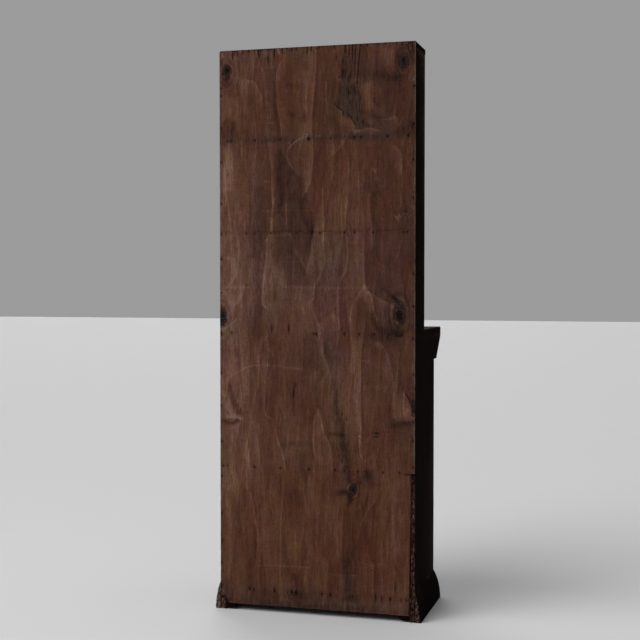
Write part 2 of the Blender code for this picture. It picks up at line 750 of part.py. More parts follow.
def make_doors():
    """The pair of doors: the left-hand one is bolted, and the right-hand one is latched behind it."""
    for word, hand in HANDS.items():
        hinge_stile = make_stile(f"{word}_door_hinge_stile", hand, 0, STILE)
        meeting_stile = make_stile(f"{word}_door_meeting_stile", hand, DOOR_WIDE, SIGHT[1])
        made = [hinge_stile, meeting_stile]
        for name, (z, tenon_z) in rail_heights().items():
            made.append(make_rail(f"{word}_door_{name}", hand, z, tenon_z))
        made.append(make_panel(f"{word}_door_panel", hand))
        for place, level in HINGE_LEVELS.items():
            made.append(make_leaf(f"door_leaf_{word}_{place}", hand, -1, level))
            make_leaf(f"case_leaf_{word}_{place}", hand, 1, level)
            make_pin(f"hinge_pin_{word}_{place}", hand, level)
        if hand > 0:
            made.append(make_latch(meeting_stile))
        else:
            made += make_bolt()
        carry(pivot(f"{word}_door_pivot", (hand * PIVOT_X, y_at(PIVOT_DEPTH), 0)), made)


# Drawer


def drawer_front_back(z):
    """The depth of the back face of the drawer's front board at a height, parallel to its slanted face."""
    foot = Vector(FRIEZE_FOOT)
    head = Vector(FRIEZE_HEAD)
    return foot.x + (head.x - foot.x) * (z - foot.y) / (head.y - foot.y) - DRAWER_FRONT_T


def make_drawer():
    """A lapped drawer: a thick slanted front, two sides, a back, a bottom and two turned knobs."""
    half = INSIDE - DRAWER_CLEAR
    front_z = (RAIL_TOP + DRAWER_CLEAR, COUNTER_UNDER - DRAWER_CLEAR)
    box_low = RAIL_TOP + DRAWER_RUN_CLEAR
    box_z = (box_low, box_low + DRAWER_SIDE_H)
    bottom_z = (box_low + DRAWER_BOTTOM_RISE, box_low + DRAWER_BOTTOM_RISE + DRAWER_BOTTOM_T)
    face_z = [front_z[0], *[z for d, z in frieze_line() if front_z[0] < z < front_z[1]], front_z[1]]
    outline = [
        (drawer_front_back(front_z[0]), front_z[0]),
        *[(frieze_depth(z) - DRAWER_SETBACK, z) for z in face_z],
        (drawer_front_back(front_z[1]), front_z[1]),
    ]
    front = prism("drawer_front", "x", outline, -half, half, "dark_stain")
    behind = -DRAWER_FRONT_T
    low, high = grown(front_z, MARGIN)
    lap_corners = ((low, behind), (low, DRAWER_LAP), (high, DRAWER_LAP), (high, behind))
    lap = [(drawer_front_back(z) + shift, z) for z, shift in lap_corners]
    inner = half - DRAWER_SIDE_T
    laps_bm = bmesh.new()
    for hand in HANDS.values():
        add_prism(laps_bm, "x", lap, *span(hand * (inner - GAP), hand * (half + MARGIN)))
    apply_boolean(front, laps_bm, "DIFFERENCE")
    groove_end = drawer_front_back(bottom_z[1]) + DRAWER_GROOVE
    groove_x = inner + DRAWER_GROOVE
    groove_start = drawer_front_back(front_z[0]) - MARGIN
    cut_blocks(front, [((-groove_x, groove_x), (groove_start, groove_end), grown(bottom_z))])
    made = [front]
    side_end = DRAWER_LAP - GAP
    side_outline = [
        (DRAWER_END, box_z[0]),
        (drawer_front_back(box_z[0]) + side_end, box_z[0]),
        (drawer_front_back(box_z[1]) + side_end, box_z[1]),
        (DRAWER_END, box_z[1]),
    ]
    back_depth = (DRAWER_END + DRAWER_BACK_INSET, DRAWER_END + DRAWER_BACK_INSET + DRAWER_BACK_T)
    for word, hand in HANDS.items():
        side = prism(f"drawer_side_{word}", "x", side_outline, *span(hand * inner, hand * half), "bare_wood")
        reach = span(hand * (inner - MARGIN), hand * groove_x)
        bottom_groove = (reach, (DRAWER_END - MARGIN, groove_end + MARGIN), grown(bottom_z))
        cut_blocks(side, [bottom_groove])
        cut_blocks(side, [(reach, grown(back_depth), (bottom_z[1] - GAP, box_z[1] + MARGIN))])
        made.append(side)
    housed = inner + DRAWER_GROOVE - GAP
    back_z = (bottom_z[1] + GAP, box_z[1])
    made.append(block("drawer_back", (-housed, housed), back_depth, back_z, "bare_wood"))
    bottom_depth = (DRAWER_END + DRAWER_BACK_INSET - DRAWER_BOTTOM_OVERHANG, groove_end - GAP)
    made.append(block("drawer_bottom", (-housed, housed), bottom_depth, bottom_z, "bare_wood", ease=0.0))
    foot = Vector(FRIEZE_FOOT)
    head = Vector(FRIEZE_HEAD)
    normal = Vector((0, foot.y - head.y, foot.x - head.x)).normalized()
    knob_depth = frieze_depth(DRAWER_KNOB_LEVEL) - DRAWER_SETBACK
    for word, hand in HANDS.items():
        seat = Vector((hand * DRAWER_KNOB_X, y_at(knob_depth), DRAWER_KNOB_LEVEL))
        bm = bmesh.new()
        add_turning(bm, [(0, 0), *knob_profile()], KNOB_SIDES, pointing(seat + normal * 2 * GAP, normal))
        made.append(piece(f"drawer_knob_{word}", bm, "bare_wood", smooth=True))
    slide = pivot("drawer_slide", (0, y_at(DRAWER_END), box_z[0]))
    carry(slide, made)


def main():
    clear_scene()
    for word, hand in HANDS.items():
        make_side(word, hand)
    make_back_sheet()
    make_shelves()
    make_counter()
    make_top()
    make_drawer_rail()
    make_plinth()
    make_base()
    make_doors()
    make_drawer()


main()
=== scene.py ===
# %% [markdown]
# # A tall storage cabinet, seen from behind
#
# This lesson dresses a finished CAD model: an old step-back cabinet with open shelves above, a slanted
# drawer, and two panelled doors below. The camera stands behind it, so the star is the plywood back
# sheet: knots, flame figure, nail rows, splits, a patch where the face has peeled, and an edge that has
# broken away. The CAD pieces keep their shapes. Here they get finishes, and a few are replaced by worn
# versions of themselves.

import math
import random

import bmesh
import bpy
import numpy as np
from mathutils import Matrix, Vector, noise
from mathutils.geometry import delaunay_2d_cdt


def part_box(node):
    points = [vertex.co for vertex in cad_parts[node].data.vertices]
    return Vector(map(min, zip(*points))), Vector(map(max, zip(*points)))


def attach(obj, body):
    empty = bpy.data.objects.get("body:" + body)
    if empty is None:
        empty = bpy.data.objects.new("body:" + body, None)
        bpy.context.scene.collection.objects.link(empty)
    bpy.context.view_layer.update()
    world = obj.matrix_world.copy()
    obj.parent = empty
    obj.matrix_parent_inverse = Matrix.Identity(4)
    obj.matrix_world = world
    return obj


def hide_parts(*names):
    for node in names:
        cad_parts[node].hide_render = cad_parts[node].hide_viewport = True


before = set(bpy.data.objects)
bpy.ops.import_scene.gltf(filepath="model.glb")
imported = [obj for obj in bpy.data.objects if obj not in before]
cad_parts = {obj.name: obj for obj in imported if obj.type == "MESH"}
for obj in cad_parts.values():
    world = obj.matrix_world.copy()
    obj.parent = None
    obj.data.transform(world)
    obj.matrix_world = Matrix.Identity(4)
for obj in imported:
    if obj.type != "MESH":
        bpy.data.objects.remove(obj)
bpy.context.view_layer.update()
MM = 0.001

# %% [markdown]
# ## Camera
#
# The corners of the back and its nail rows fixed the camera: a long lens at chest height, turned a little
# so that a sliver of the cabinet's side shows. It could be placed by eye, but then no straight edge would
# agree with the picture, so its place and two angles are written as measured values.

# %% Camera
LENS_MM = 69.53
SENSOR_MM = 36.0
CAMERA_PLACE = Vector((-1.1032, 4.0766, 1.0927))
CAMERA_TURN = math.radians(15.778)
CAMERA_DROP = math.radians(1.801)

camera_data = bpy.data.cameras.new("camera")
camera_data.lens = LENS_MM
camera_data.sensor_width = SENSOR_MM
camera = bpy.data.objects.new("camera", camera_data)
camera.location = CAMERA_PLACE
level = math.cos(CAMERA_DROP)
forward = Vector((math.sin(CAMERA_TURN) * level, -math.cos(CAMERA_TURN) * level, -math.sin(CAMERA_DROP)))
camera.rotation_euler = forward.to_track_quat("-Z", "Y").to_euler()
bpy.context.scene.collection.objects.link(camera)
bpy.context.scene.camera = camera
bpy.context.scene.view_settings.view_transform = "Standard"
print("camera", round(CAMERA_PLACE.length, 2), "m from the middle of the floor")

# %% [markdown]
# ## Light
#
# Two broad suns act as the soft boxes of a studio, because their light is the same all over the floor,
# and one real soft box near the back's left side makes it a little brighter there, as a window would. The
# cabinet's narrow flank faces away from all three and gets a weak fill. Their strengths are set so that a
# surface facing them shows about the colour that its material says. The room itself is one even light
# grey, for every ray alike, so that brass reflects the same room that the camera sees.

# %% Light
SUNS = {
    "back_sun": ((0.55, 0.60, 0.80), 2.30),
    "front_sun": ((0.42, -0.85, 0.25), 2.00),
    "flank_fill": ((-0.90, -0.25, 0.40), 0.25),
}
SUN_SPREAD = math.radians(50)
SOFT_BOX_PLACE = Vector((2.2, 2.6, 2.9))
SOFT_BOX_SIZE = 1.6
SOFT_BOX_POWER = 36.0
LIGHT_TARGET = Vector((0.1, 0.2, 1.0))
ROOM_COLOUR = (0.33, 0.33, 0.335, 1.0)


def add_lamp(name, kind, towards, **settings):
    data = bpy.data.lights.new(name, kind)
    for key, value in settings.items():
        setattr(data, key, value)
    lamp = bpy.data.objects.new(name, data)
    lamp.rotation_euler = towards.to_track_quat("-Z", "Y").to_euler()
    bpy.context.scene.collection.objects.link(lamp)
    return lamp


for name, (source, strength) in SUNS.items():
    add_lamp(name, "SUN", -Vector(source), energy=strength, angle=SUN_SPREAD)
to_cabinet = LIGHT_TARGET - SOFT_BOX_PLACE
soft_box = add_lamp("soft_box", "AREA", to_cabinet, energy=SOFT_BOX_POWER, size=SOFT_BOX_SIZE)
soft_box.location = SOFT_BOX_PLACE

world = bpy.data.worlds.new("soft_room")
bpy.context.scene.world = world
world.use_nodes = True
room = world.node_tree.nodes["Background"]
room.inputs["Color"].default_value = ROOM_COLOUR
room.inputs["Strength"].default_value = 1.0
print("lit by", ", ".join(SUNS), "and a soft box")

# %% [markdown]
# ## A short hand for finishes
#
# Every finish here is a tree of shader nodes. Writing each link in full would bury the idea, so one small
# class adds a node per call and hands back the socket to use next. All patterns read Object coordinates
# in metres, so a stretch of (300, 300, 6) means streaks about 3 mm wide and 170 mm long.

# %% Tree of nodes
class NodeTree:
    """A tree of nodes that are added by short calls."""

    def node(self, kind, inputs=(), **settings):
        made = self.tree.nodes.new(kind)
        for key, value in settings.items():
            setattr(made, key, value)
        for key, value in dict(inputs).items():
            self.feed(made.inputs[key], value)
        return made

    def feed(self, socket, value):
        if isinstance(value, bpy.types.NodeSocket):
            self.tree.links.new(value, socket)
        else:
            socket.default_value = value


print("node trees ready")

# %% [markdown]
# A finish adds what wood, brass and rust are made of: noise for grain and dirt, ramps that turn a number
# into a colour, mixes and a bump. Node groups could hold these too, but short methods let each finish be
# read as a recipe, from the first noise to the last mix.

# %% Finish helper
class Finish(NodeTree):
    """A material whose nodes are added by short calls; each call gives the socket to use next."""

    def __init__(self, name, seed=0):
        self.material = bpy.data.materials.new(name)
        self.material.use_nodes = True
        self.tree = self.material.node_tree
        self.shader = self.tree.nodes["Principled BSDF"]
        self.place = self.node("ShaderNodeTexCoord").outputs["Object"]
        chance = random.Random(seed)
        self.shift = [chance.uniform(-9, 9) for _ in range(3)]

    def set(self, **values):
        """Sets or links inputs of the shader, named with underscores for spaces."""
        for name, value in values.items():
            self.feed(self.shader.inputs[name.replace("_", " ")], value)

    def math(self, operation, a, b=0.0):
        return self.node("ShaderNodeMath", {0: a, 1: b}, operation=operation).outputs[0]

    def add(self, *terms):
        total = terms[0]
        for term in terms[1:]:
            total = self.math("ADD", total, term)
        return total

    def times(self, a, b):
        return self.math("MULTIPLY", a, b)

    def spread(self, value, amount):
        """A 0 to 1 value turned into one that swings by amount about zero."""
        return self.times(self.math("SUBTRACT", value, 0.5), amount)

    def swung(self, base, *swings):
        """A base value that each (noise, amount) pair swings up and down."""
        return self.add(base, *(self.spread(value, amount) for value, amount in swings))

    def noise(self, stretch, detail, rough, swirl=0.0):
        where = {"Vector": self.place, "Location": self.shift, "Scale": stretch}
        mapped = self.node("ShaderNodeMapping", where).outputs[0]
        inputs = {"Vector": mapped, "Scale": 1.0, "Detail": detail, "Roughness": rough, "Distortion": swirl}
        return self.node("ShaderNodeTexNoise", inputs).outputs["Fac"]

    def attribute(self, name):
        return self.node("ShaderNodeAttribute", attribute_name=name).outputs["Fac"]

    def between(self, value, low, high, from_value=0.0, to_value=1.0):
        """Fades from one value to another while the input goes from low to high."""
        inputs = {0: value, 1: low, 2: high, 3: from_value, 4: to_value}
        return self.node("ShaderNodeMapRange", inputs, interpolation_type="SMOOTHSTEP").outputs[0]

    def colours(self, value, stops):
        """A colour ramp from (place, (r, g, b)) stops."""
        ramp = self.node("ShaderNodeValToRGB", {0: value})
        elements = ramp.color_ramp.elements
        while len(elements) < len(stops):
            elements.new(0.5)
        for element, (place, colour) in zip(elements, stops):
            element.position = place
            element.color = (*colour, 1.0)
        return ramp.outputs["Color"]

    def grey(self, value, stops):
        return self.colours(value, [(place, (level,) * 3) for place, level in stops])

    def bands(self, value, steps):
        """Grey bands that repeat each time the value has risen by 1, as growth rings do."""
        return self.grey(self.math("FRACT", value), steps)

    def mix(self, factor, a, b, blend="MIX"):
        a, b = (c if isinstance(c, bpy.types.NodeSocket) else (*c, 1.0) for c in (a, b))
        made = self.node("ShaderNodeMix", {0: factor, 6: a, 7: b}, data_type="RGBA", blend_type=blend)
        return made.outputs[2]

    def bump(self, height, strength, depth):
        inputs = {"Height": height, "Strength": strength, "Distance": depth}
        self.set(Normal=self.node("ShaderNodeBump", inputs).outputs[0])

    def axis(self, name):
        return self.node("ShaderNodeSeparateXYZ", {0: self.place}).outputs[name]

    def bend(self, sideways, stretch, sway):
        """From here on patterns are read a little to the side, so that grain sways and runs round knots."""
        sway_now = self.spread(self.noise(stretch, 2.0, 0.5), sway)
        aside = self.math("SUBTRACT", sway_now, sideways)
        move = self.node("ShaderNodeCombineXYZ", {"X": aside}).outputs[0]
        self.place = self.node("ShaderNodeVectorMath", {0: self.place, 1: move}, operation="ADD").outputs[0]


print("finish helper ready")

# %% [markdown]
# Each new mesh has to say which part of the cabinet it moves with, and which CAD piece it stands in for.
# One function does that for all of them, so that none is forgotten.

# %% Pieces that ride on a body
def add_piece(name, mesh, body, slot_name, *replaced):
    """Puts a mesh in the scene as a piece that rides on a body and may stand for CAD nodes."""
    made = bpy.data.objects.new(name, mesh)
    bpy.context.scene.collection.objects.link(made)
    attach(made, body)
    if replaced:
        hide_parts(*replaced)


print("piece helper ready")

# %% [markdown]
# The floor is one plain sheet of pale paint.

# %% Floor
FLOOR_COLOUR = (0.50, 0.50, 0.505)
FLOOR_SIZE = 60.0
floor_finish = Finish("pale_floor")
floor_finish.set(Base_Color=(*FLOOR_COLOUR, 1.0), Roughness=0.9)
floor_mesh = bpy.data.meshes.new("floor")
corners = [(x * FLOOR_SIZE / 2, y * FLOOR_SIZE / 2, 0) for x, y in ((-1, -1), (1, -1), (1, 1), (-1, 1))]
floor_mesh.from_pydata(corners, [], [(0, 1, 2, 3)])
floor_mesh.materials.append(floor_finish.material)
floor = bpy.data.objects.new("floor", floor_mesh)
bpy.context.scene.collection.objects.link(floor)
print("floor", FLOOR_SIZE, "m square")

# %% [markdown]
# ## The back sheet: what is drawn on it
#
# The sheet is softwood plywood whose face was peeled off a turning log. Such a cut meets each growth ring
# at a grazing angle, which gives wide bands with one crisp pale edge, tongues and flames, and swirls
# round knots. A tiled wood texture couldn't put a knot where this sheet has one. So the marks are listed
# as a restorer would chart them, in millimetres: across from the sheet's left edge as the camera sees it,
# and up from the floor.

# %% Knots, splits and holes on the sheet
SHEET_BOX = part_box("back_sheet")
SHEET_LEFT = SHEET_BOX[1].x
SHEET_FACE = SHEET_BOX[1].y
SHEET_INNER = SHEET_BOX[0].y
SHEET_WIDE = (SHEET_BOX[1].x - SHEET_BOX[0].x) / MM
SHEET_LOW = SHEET_BOX[0].z / MM
SHEET_HIGH = SHEET_BOX[1].z / MM

# name: (centre, radii, how dark)
KNOTS = {
    "top_left": ((25, 1777), (14, 24), 1.0),
    "top_right": ((619, 1786), (14, 23), 1.0),
    "low_middle": ((455, 420), (12, 17), 1.15),
    "right_eye": ((606, 986), (18, 36), 1.0),
    "left_edge": ((9, 974), (14, 29), 0.9),
    "right_speck": ((625, 1314), (11, 6), 0.55),
    "low_right_speck": ((533, 604), (13, 6), 0.55),
    "right_edge": ((652, 690), (8, 24), 0.8),
}
# (centre, radii): parts of a knot that have kept a paler skin
KNOT_GAPS = [((596, 963), (8, 12)), ((613, 1776), (4, 5)), ((612, 1004), (4, 6)), ((17, 1765), (4, 6))]
NAIL_ROWS = {
    1553: (28, 41, 124, 209, 306, 381, 459, 480, 566, 634),
    1249: (4, 93, 121, 177, 265, 318, 344, 426, 460, 520, 620, 631),
    922: (5, 41, 324, 333, 425, 476, 525, 614),
    480: (11, 25, 120, 210, 307, 395, 425, 472, 498, 554, 607),
    73: (101, 116, 188, 248, 262, 350, 380, 453, 550, 578, 631),
}
LEFT_EDGE_NAILS = (1727, 1702, 1597, 1484, 1347, 1166, 1054, 914, 789, 680, 560, 445, 322, 230, 155)
RIGHT_EDGE_NAILS = (1709, 1589, 1476, 1356, 1117, 1012, 910, 795, 585, 500)
EDGE_NAIL_INSET = 5
# (place of the mouth along the top edge, tip, width of the mouth)
TOP_SPLITS = [
    (47, (46, 1824), 3.0), (54, (52, 1834), 2.6), (62, (61, 1830), 2.4), (80, (80, 1836), 3.0),
    (102, (101, 1840), 3.4), (122, (122, 1840), 3.0), (135, (137, 1818), 2.0), (143, (141, 1832), 2.4),
    (167, (169, 1800), 2.2), (190, (189, 1822), 2.8), (217, (217, 1832), 3.0), (232, (232, 1838), 3.0),
    (250, (250, 1833), 2.6), (265, (265, 1838), 2.6), (301, (301, 1828), 2.8), (315, (315, 1836), 3.0),
    (342, (342, 1842), 3.0), (392, (393, 1836), 3.4), (427, (428, 1822), 2.4), (442, (440, 1815), 2.4),
    (452, (452, 1790), 2.6), (463, (458, 1740), 2.6), (477, (467, 1722), 3.6), (500, (500, 1840), 2.6),
    (536, (536, 1838), 3.6), (560, (560, 1842), 2.6), (597, (597, 1838), 2.8), (614, (614, 1840), 2.6),
    (634, (633, 1826), 3.2), (641, (641, 1836), 2.4), (647, (646, 1816), 3.0),
]
# (centre, half width, half height): slits that nails and splits have left, seen as short dark strokes
SLITS = [
    ((304, 1553), 0.9, 6), ((308, 1552), 0.8, 5), ((238, 938), 1.6, 17), ((180, 935), 1.3, 14),
    ((188, 76), 1.3, 11), ((248, 75), 1.2, 8), ((262, 72), 1.4, 7), ((530, 74), 1.5, 14),
    ((550, 72), 0.9, 12), ((578, 70), 1.2, 8), ((614, 70), 1.2, 9), ((595, 110), 0.8, 20),
    ((350, 73), 1.0, 6), ((379, 74), 1.0, 6), ((255, 725), 0.8, 16), ((438, 1700), 0.8, 18),
    ((445, 1752), 0.9, 12), ((487, 1600), 0.9, 8), ((468, 1612), 0.9, 9), ((103, 76), 1.2, 5),
    ((333, 918), 1.0, 8), ((649, 1585), 0.9, 6),
]
WORM_HOLES = [
    (465, 774), (555, 760), (567, 764), (565, 744), (550, 745), (559, 732), (599, 737), (494, 789),
    (498, 738), (241, 525), (157, 562), (341, 582), (480, 560), (490, 558), (562, 574), (483, 661),
    (211, 660), (186, 408), (348, 339), (250, 1058), (255, 1572), (61, 993), (388, 1503), (47, 712),
    (66, 703), (62, 661), (78, 652), (628, 735), (275, 706), (368, 570), (413, 640), (5, 560), (232, 812),
]
# (low corner, high corner, number tried): fields of short cracks that chance places
CRACKED = [((402, 1745), (450, 1815), 34), ((404, 1665), (470, 1745), 14), ((430, 1585), (484, 1640), 8),
           ((20, 1836), (640, 1842), 26), ((90, 55), (640, 84), 16), ((500, 490), (545, 560), 8),
           ((396, 470), (440, 740), 40), ((8, 1560), (60, 1640), 4), ((45, 650), (95, 715), 8)]
# The crack runs in from the right edge at one level, and gapes below it
CRACK_LEVEL = 478
CRACK_GAPE = 4
CRACK_MOUTH = 646
CRACK_TIP = 612
LOST_EDGE = [(645.6, 473.5), (646, 425), (643.4, 290), (640.8, 105), (640.2, SHEET_LOW)]
WORN_CORNER = [(29, SHEET_LOW), (24, 33), (13, 50), (9, 72), (3, 88), (0, 100)]
PEELED = [
    (415, 1752), (414, 1728), (411, 1705), (409, 1688), (396, 1671), (392, 1660), (404, 1650), (417, 1641),
    (421, 1625), (430, 1620), (444, 1622), (452, 1608), (460, 1594), (473, 1578), (481, 1588), (487, 1604),
    (489, 1625), (482, 1650), (477, 1685), (468, 1724), (452, 1735), (442, 1752), (430, 1745),
]
print(len(KNOTS), "knots,", sum(map(len, NAIL_ROWS.values())), "row nails,", len(WORM_HOLES), "worm holes")

# %% [markdown]
# The figure of the wood is charted the same way. An edge is where the peeling knife left a growth ring: a
# crisp pale line, with pale wood fading out over some distance to its left, or to its right where the
# distance is below zero. A stroke is a soft brush mark, a region a filled outline with soft edges, and a
# patch an oval. Each starts with its strength: above zero is paler, below zero is darker. The broad
# patches are partly the wood's tone and partly painted light, paler on the left of the sheet and darker
# on the right, as light that falls off from the left.

# %% Pale edges and darker strokes
# (strength, how far the pale wood reaches, route)
RING_EDGES = [
    (0.20, 4, [(127, 1845), (131, 1830), (144, 1792), (157, 1770)]),
    (0.26, 26, [(100, 1750), (118, 1744), (130, 1728), (142, 1708), (148, 1682)]),
    (0.26, -14, [(212, 1804), (200, 1779), (196, 1750), (196, 1712), (202, 1667), (208, 1625),
                 (214, 1570)]),
    (0.32, 30, [(331, 1850), (330, 1760), (322, 1680), (317, 1600), (320, 1530), (319, 1470),
                (312, 1412), (298, 1380)]),
    (0.26, 3, [(365, 1730), (364, 1690), (366, 1650), (360, 1600)]), (0.18, 3, [(77, 1550), (78, 1475)]),
    (0.32, -10, [(168, 1542), (172, 1504), (176, 1475), (180, 1420), (181, 1350)]),
    (0.32, -8, [(183, 1350), (179, 1294), (172, 1250), (161, 1223), (160, 1182), (155, 1132),
                (148, 1082), (146, 1040), (148, 1018), (157, 1006)]),
    (0.18, -5, [(200, 1073), (197, 1036), (189, 1008)]),
    (0.20, 7, [(67, 1223), (67, 1157), (58, 1115), (38, 1082)]), (0.24, 10, [(101, 1375), (100, 1286)]),
    (0.24, 16, [(86, 1073), (78, 1044), (62, 1019)]),
    (0.20, 5, [(228, 1350), (232, 1290), (236, 1250), (252, 1235), (255, 1196)]),
    (0.14, -6, [(258, 1192), (274, 1166), (286, 1150), (294, 1130)]),
    (0.24, -26, [(326, 1262), (318, 1215), (313, 1180), (306, 1150), (297, 1126)]),
    (0.24, 5, [(354, 1390), (355, 1307), (356, 1223), (361, 1165), (355, 1132), (338, 1098), (328, 1075)]),
    (0.20, 5, [(328, 1075), (322, 1040), (316, 1015), (325, 990), (342, 950)]),
    (0.26, 7, [(439, 1470), (438, 1390), (436, 1348), (430, 1307), (428, 1252), (436, 1223), (436, 1173),
               (430, 1123), (409, 1086), (405, 1044), (407, 994), (411, 940)]),
    (0.26, 12, [(509, 1372), (511, 1307), (517, 1269), (519, 1200)]),
    (0.16, 4, [(472, 1450), (474, 1350), (472, 1280)]),
    (0.28, 26, [(492, 1235), (491, 1180), (490, 1140), (493, 1090)]),
    (0.24, -14, [(493, 1086), (472, 1048), (452, 1019), (443, 973), (446, 932), (448, 805)]),
    (0.28, 14, [(495, 1080), (516, 1040), (523, 1003), (536, 969)]),
    (0.30, 16, [(508, 1058), (546, 1034), (580, 1019), (596, 1004)]),
    (0.20, 4, [(526, 1186), (532, 1160), (545, 1148), (560, 1140)]),
    (0.28, 26, [(494, 945), (490, 925), (485, 888), (481, 847), (480, 722), (482, 600)]),
    (0.16, 3, [(422, 925), (421, 850), (424, 780)]),
    (0.22, 14, [(348, 925), (352, 900), (358, 855), (371, 818), (380, 776)]),
    (0.22, 4, [(162, 930), (169, 876), (165, 813), (158, 763)]),
    (0.22, 4, [(135, 850), (136, 800), (135, 738)]),
    (0.20, 30, [(99, 905), (102, 850), (101, 780), (102, 700)]),
    (0.26, 5, [(157, 735), (154, 680), (160, 655), (182, 640), (191, 622), (200, 572), (217, 530),
               (226, 480)]),
    (0.20, 10, [(95, 560), (102, 500), (106, 470)]), (0.18, 6, [(128, 590), (133, 540), (146, 470)]),
    (0.30, -12, [(329, 659), (321, 625), (321, 563), (326, 520), (322, 470)]),
    (0.30, 18, [(338, 678), (349, 635), (359, 601), (372, 572), (383, 534), (385, 478)]),
    (0.22, 26, [(526, 903), (556, 884), (572, 851), (580, 809), (587, 772), (590, 745)]),
    (0.24, 12, [(606, 868), (602, 793), (599, 747)]),
    (0.20, -30, [(588, 738), (584, 700), (585, 668), (600, 652), (640, 648)]),
    (0.24, 16, [(620, 738), (636, 712), (645, 690)]), (0.22, -6, [(474, 585), (480, 530), (490, 513)]),
    (0.18, 6, [(490, 513), (509, 526), (536, 558)]),
    (0.22, -6, [(217, 452), (215, 387), (208, 295), (206, 178), (204, 32)]),
    (0.24, 6, [(107, 395), (113, 365), (119, 337), (125, 295)]), (0.18, -20, [(126, 290), (128, 230)]),
    (0.18, -18, [(146, 300), (148, 237), (151, 165)]), (0.16, 20, [(36, 350), (37, 270), (36, 200)]),
    (0.14, 3, [(85, 275), (88, 225), (92, 205)]), (0.18, 4, [(306, 205), (314, 237), (326, 208)]),
    (0.22, 8, [(530, 387), (509, 362), (495, 337), (484, 310), (473, 262)]),
    (0.20, 14, [(568, 350), (569, 290), (573, 240), (567, 180)]),
    (0.14, -12, [(584, 345), (584, 300), (586, 250)]), (0.20, 24, [(421, 362), (420, 262), (416, 205)]),
    (0.16, 10, [(520, 185), (523, 112)]), (0.16, 3, [(503, 240), (504, 205)]),
    (0.26, 12, [(590, 1522), (608, 1502), (611, 1475), (613, 1448)]),
    (0.20, 2, [(620, 1492), (638, 1462), (653, 1440)]), (0.22, 16, [(430, 1548), (412, 1520), (392, 1500)]),
    (0.24, 8, [(592, 1614), (604, 1590)]), (0.24, -8, [(617, 1614), (606, 1590)]),
    (0.26, -10, [(30, 640), (52, 642), (76, 634)]), (0.26, 6, [(12, 935), (35, 949), (55, 966)]),
    (0.26, 6, [(440, 1580), (475, 1575), (503, 1580), (535, 1574)]),
]
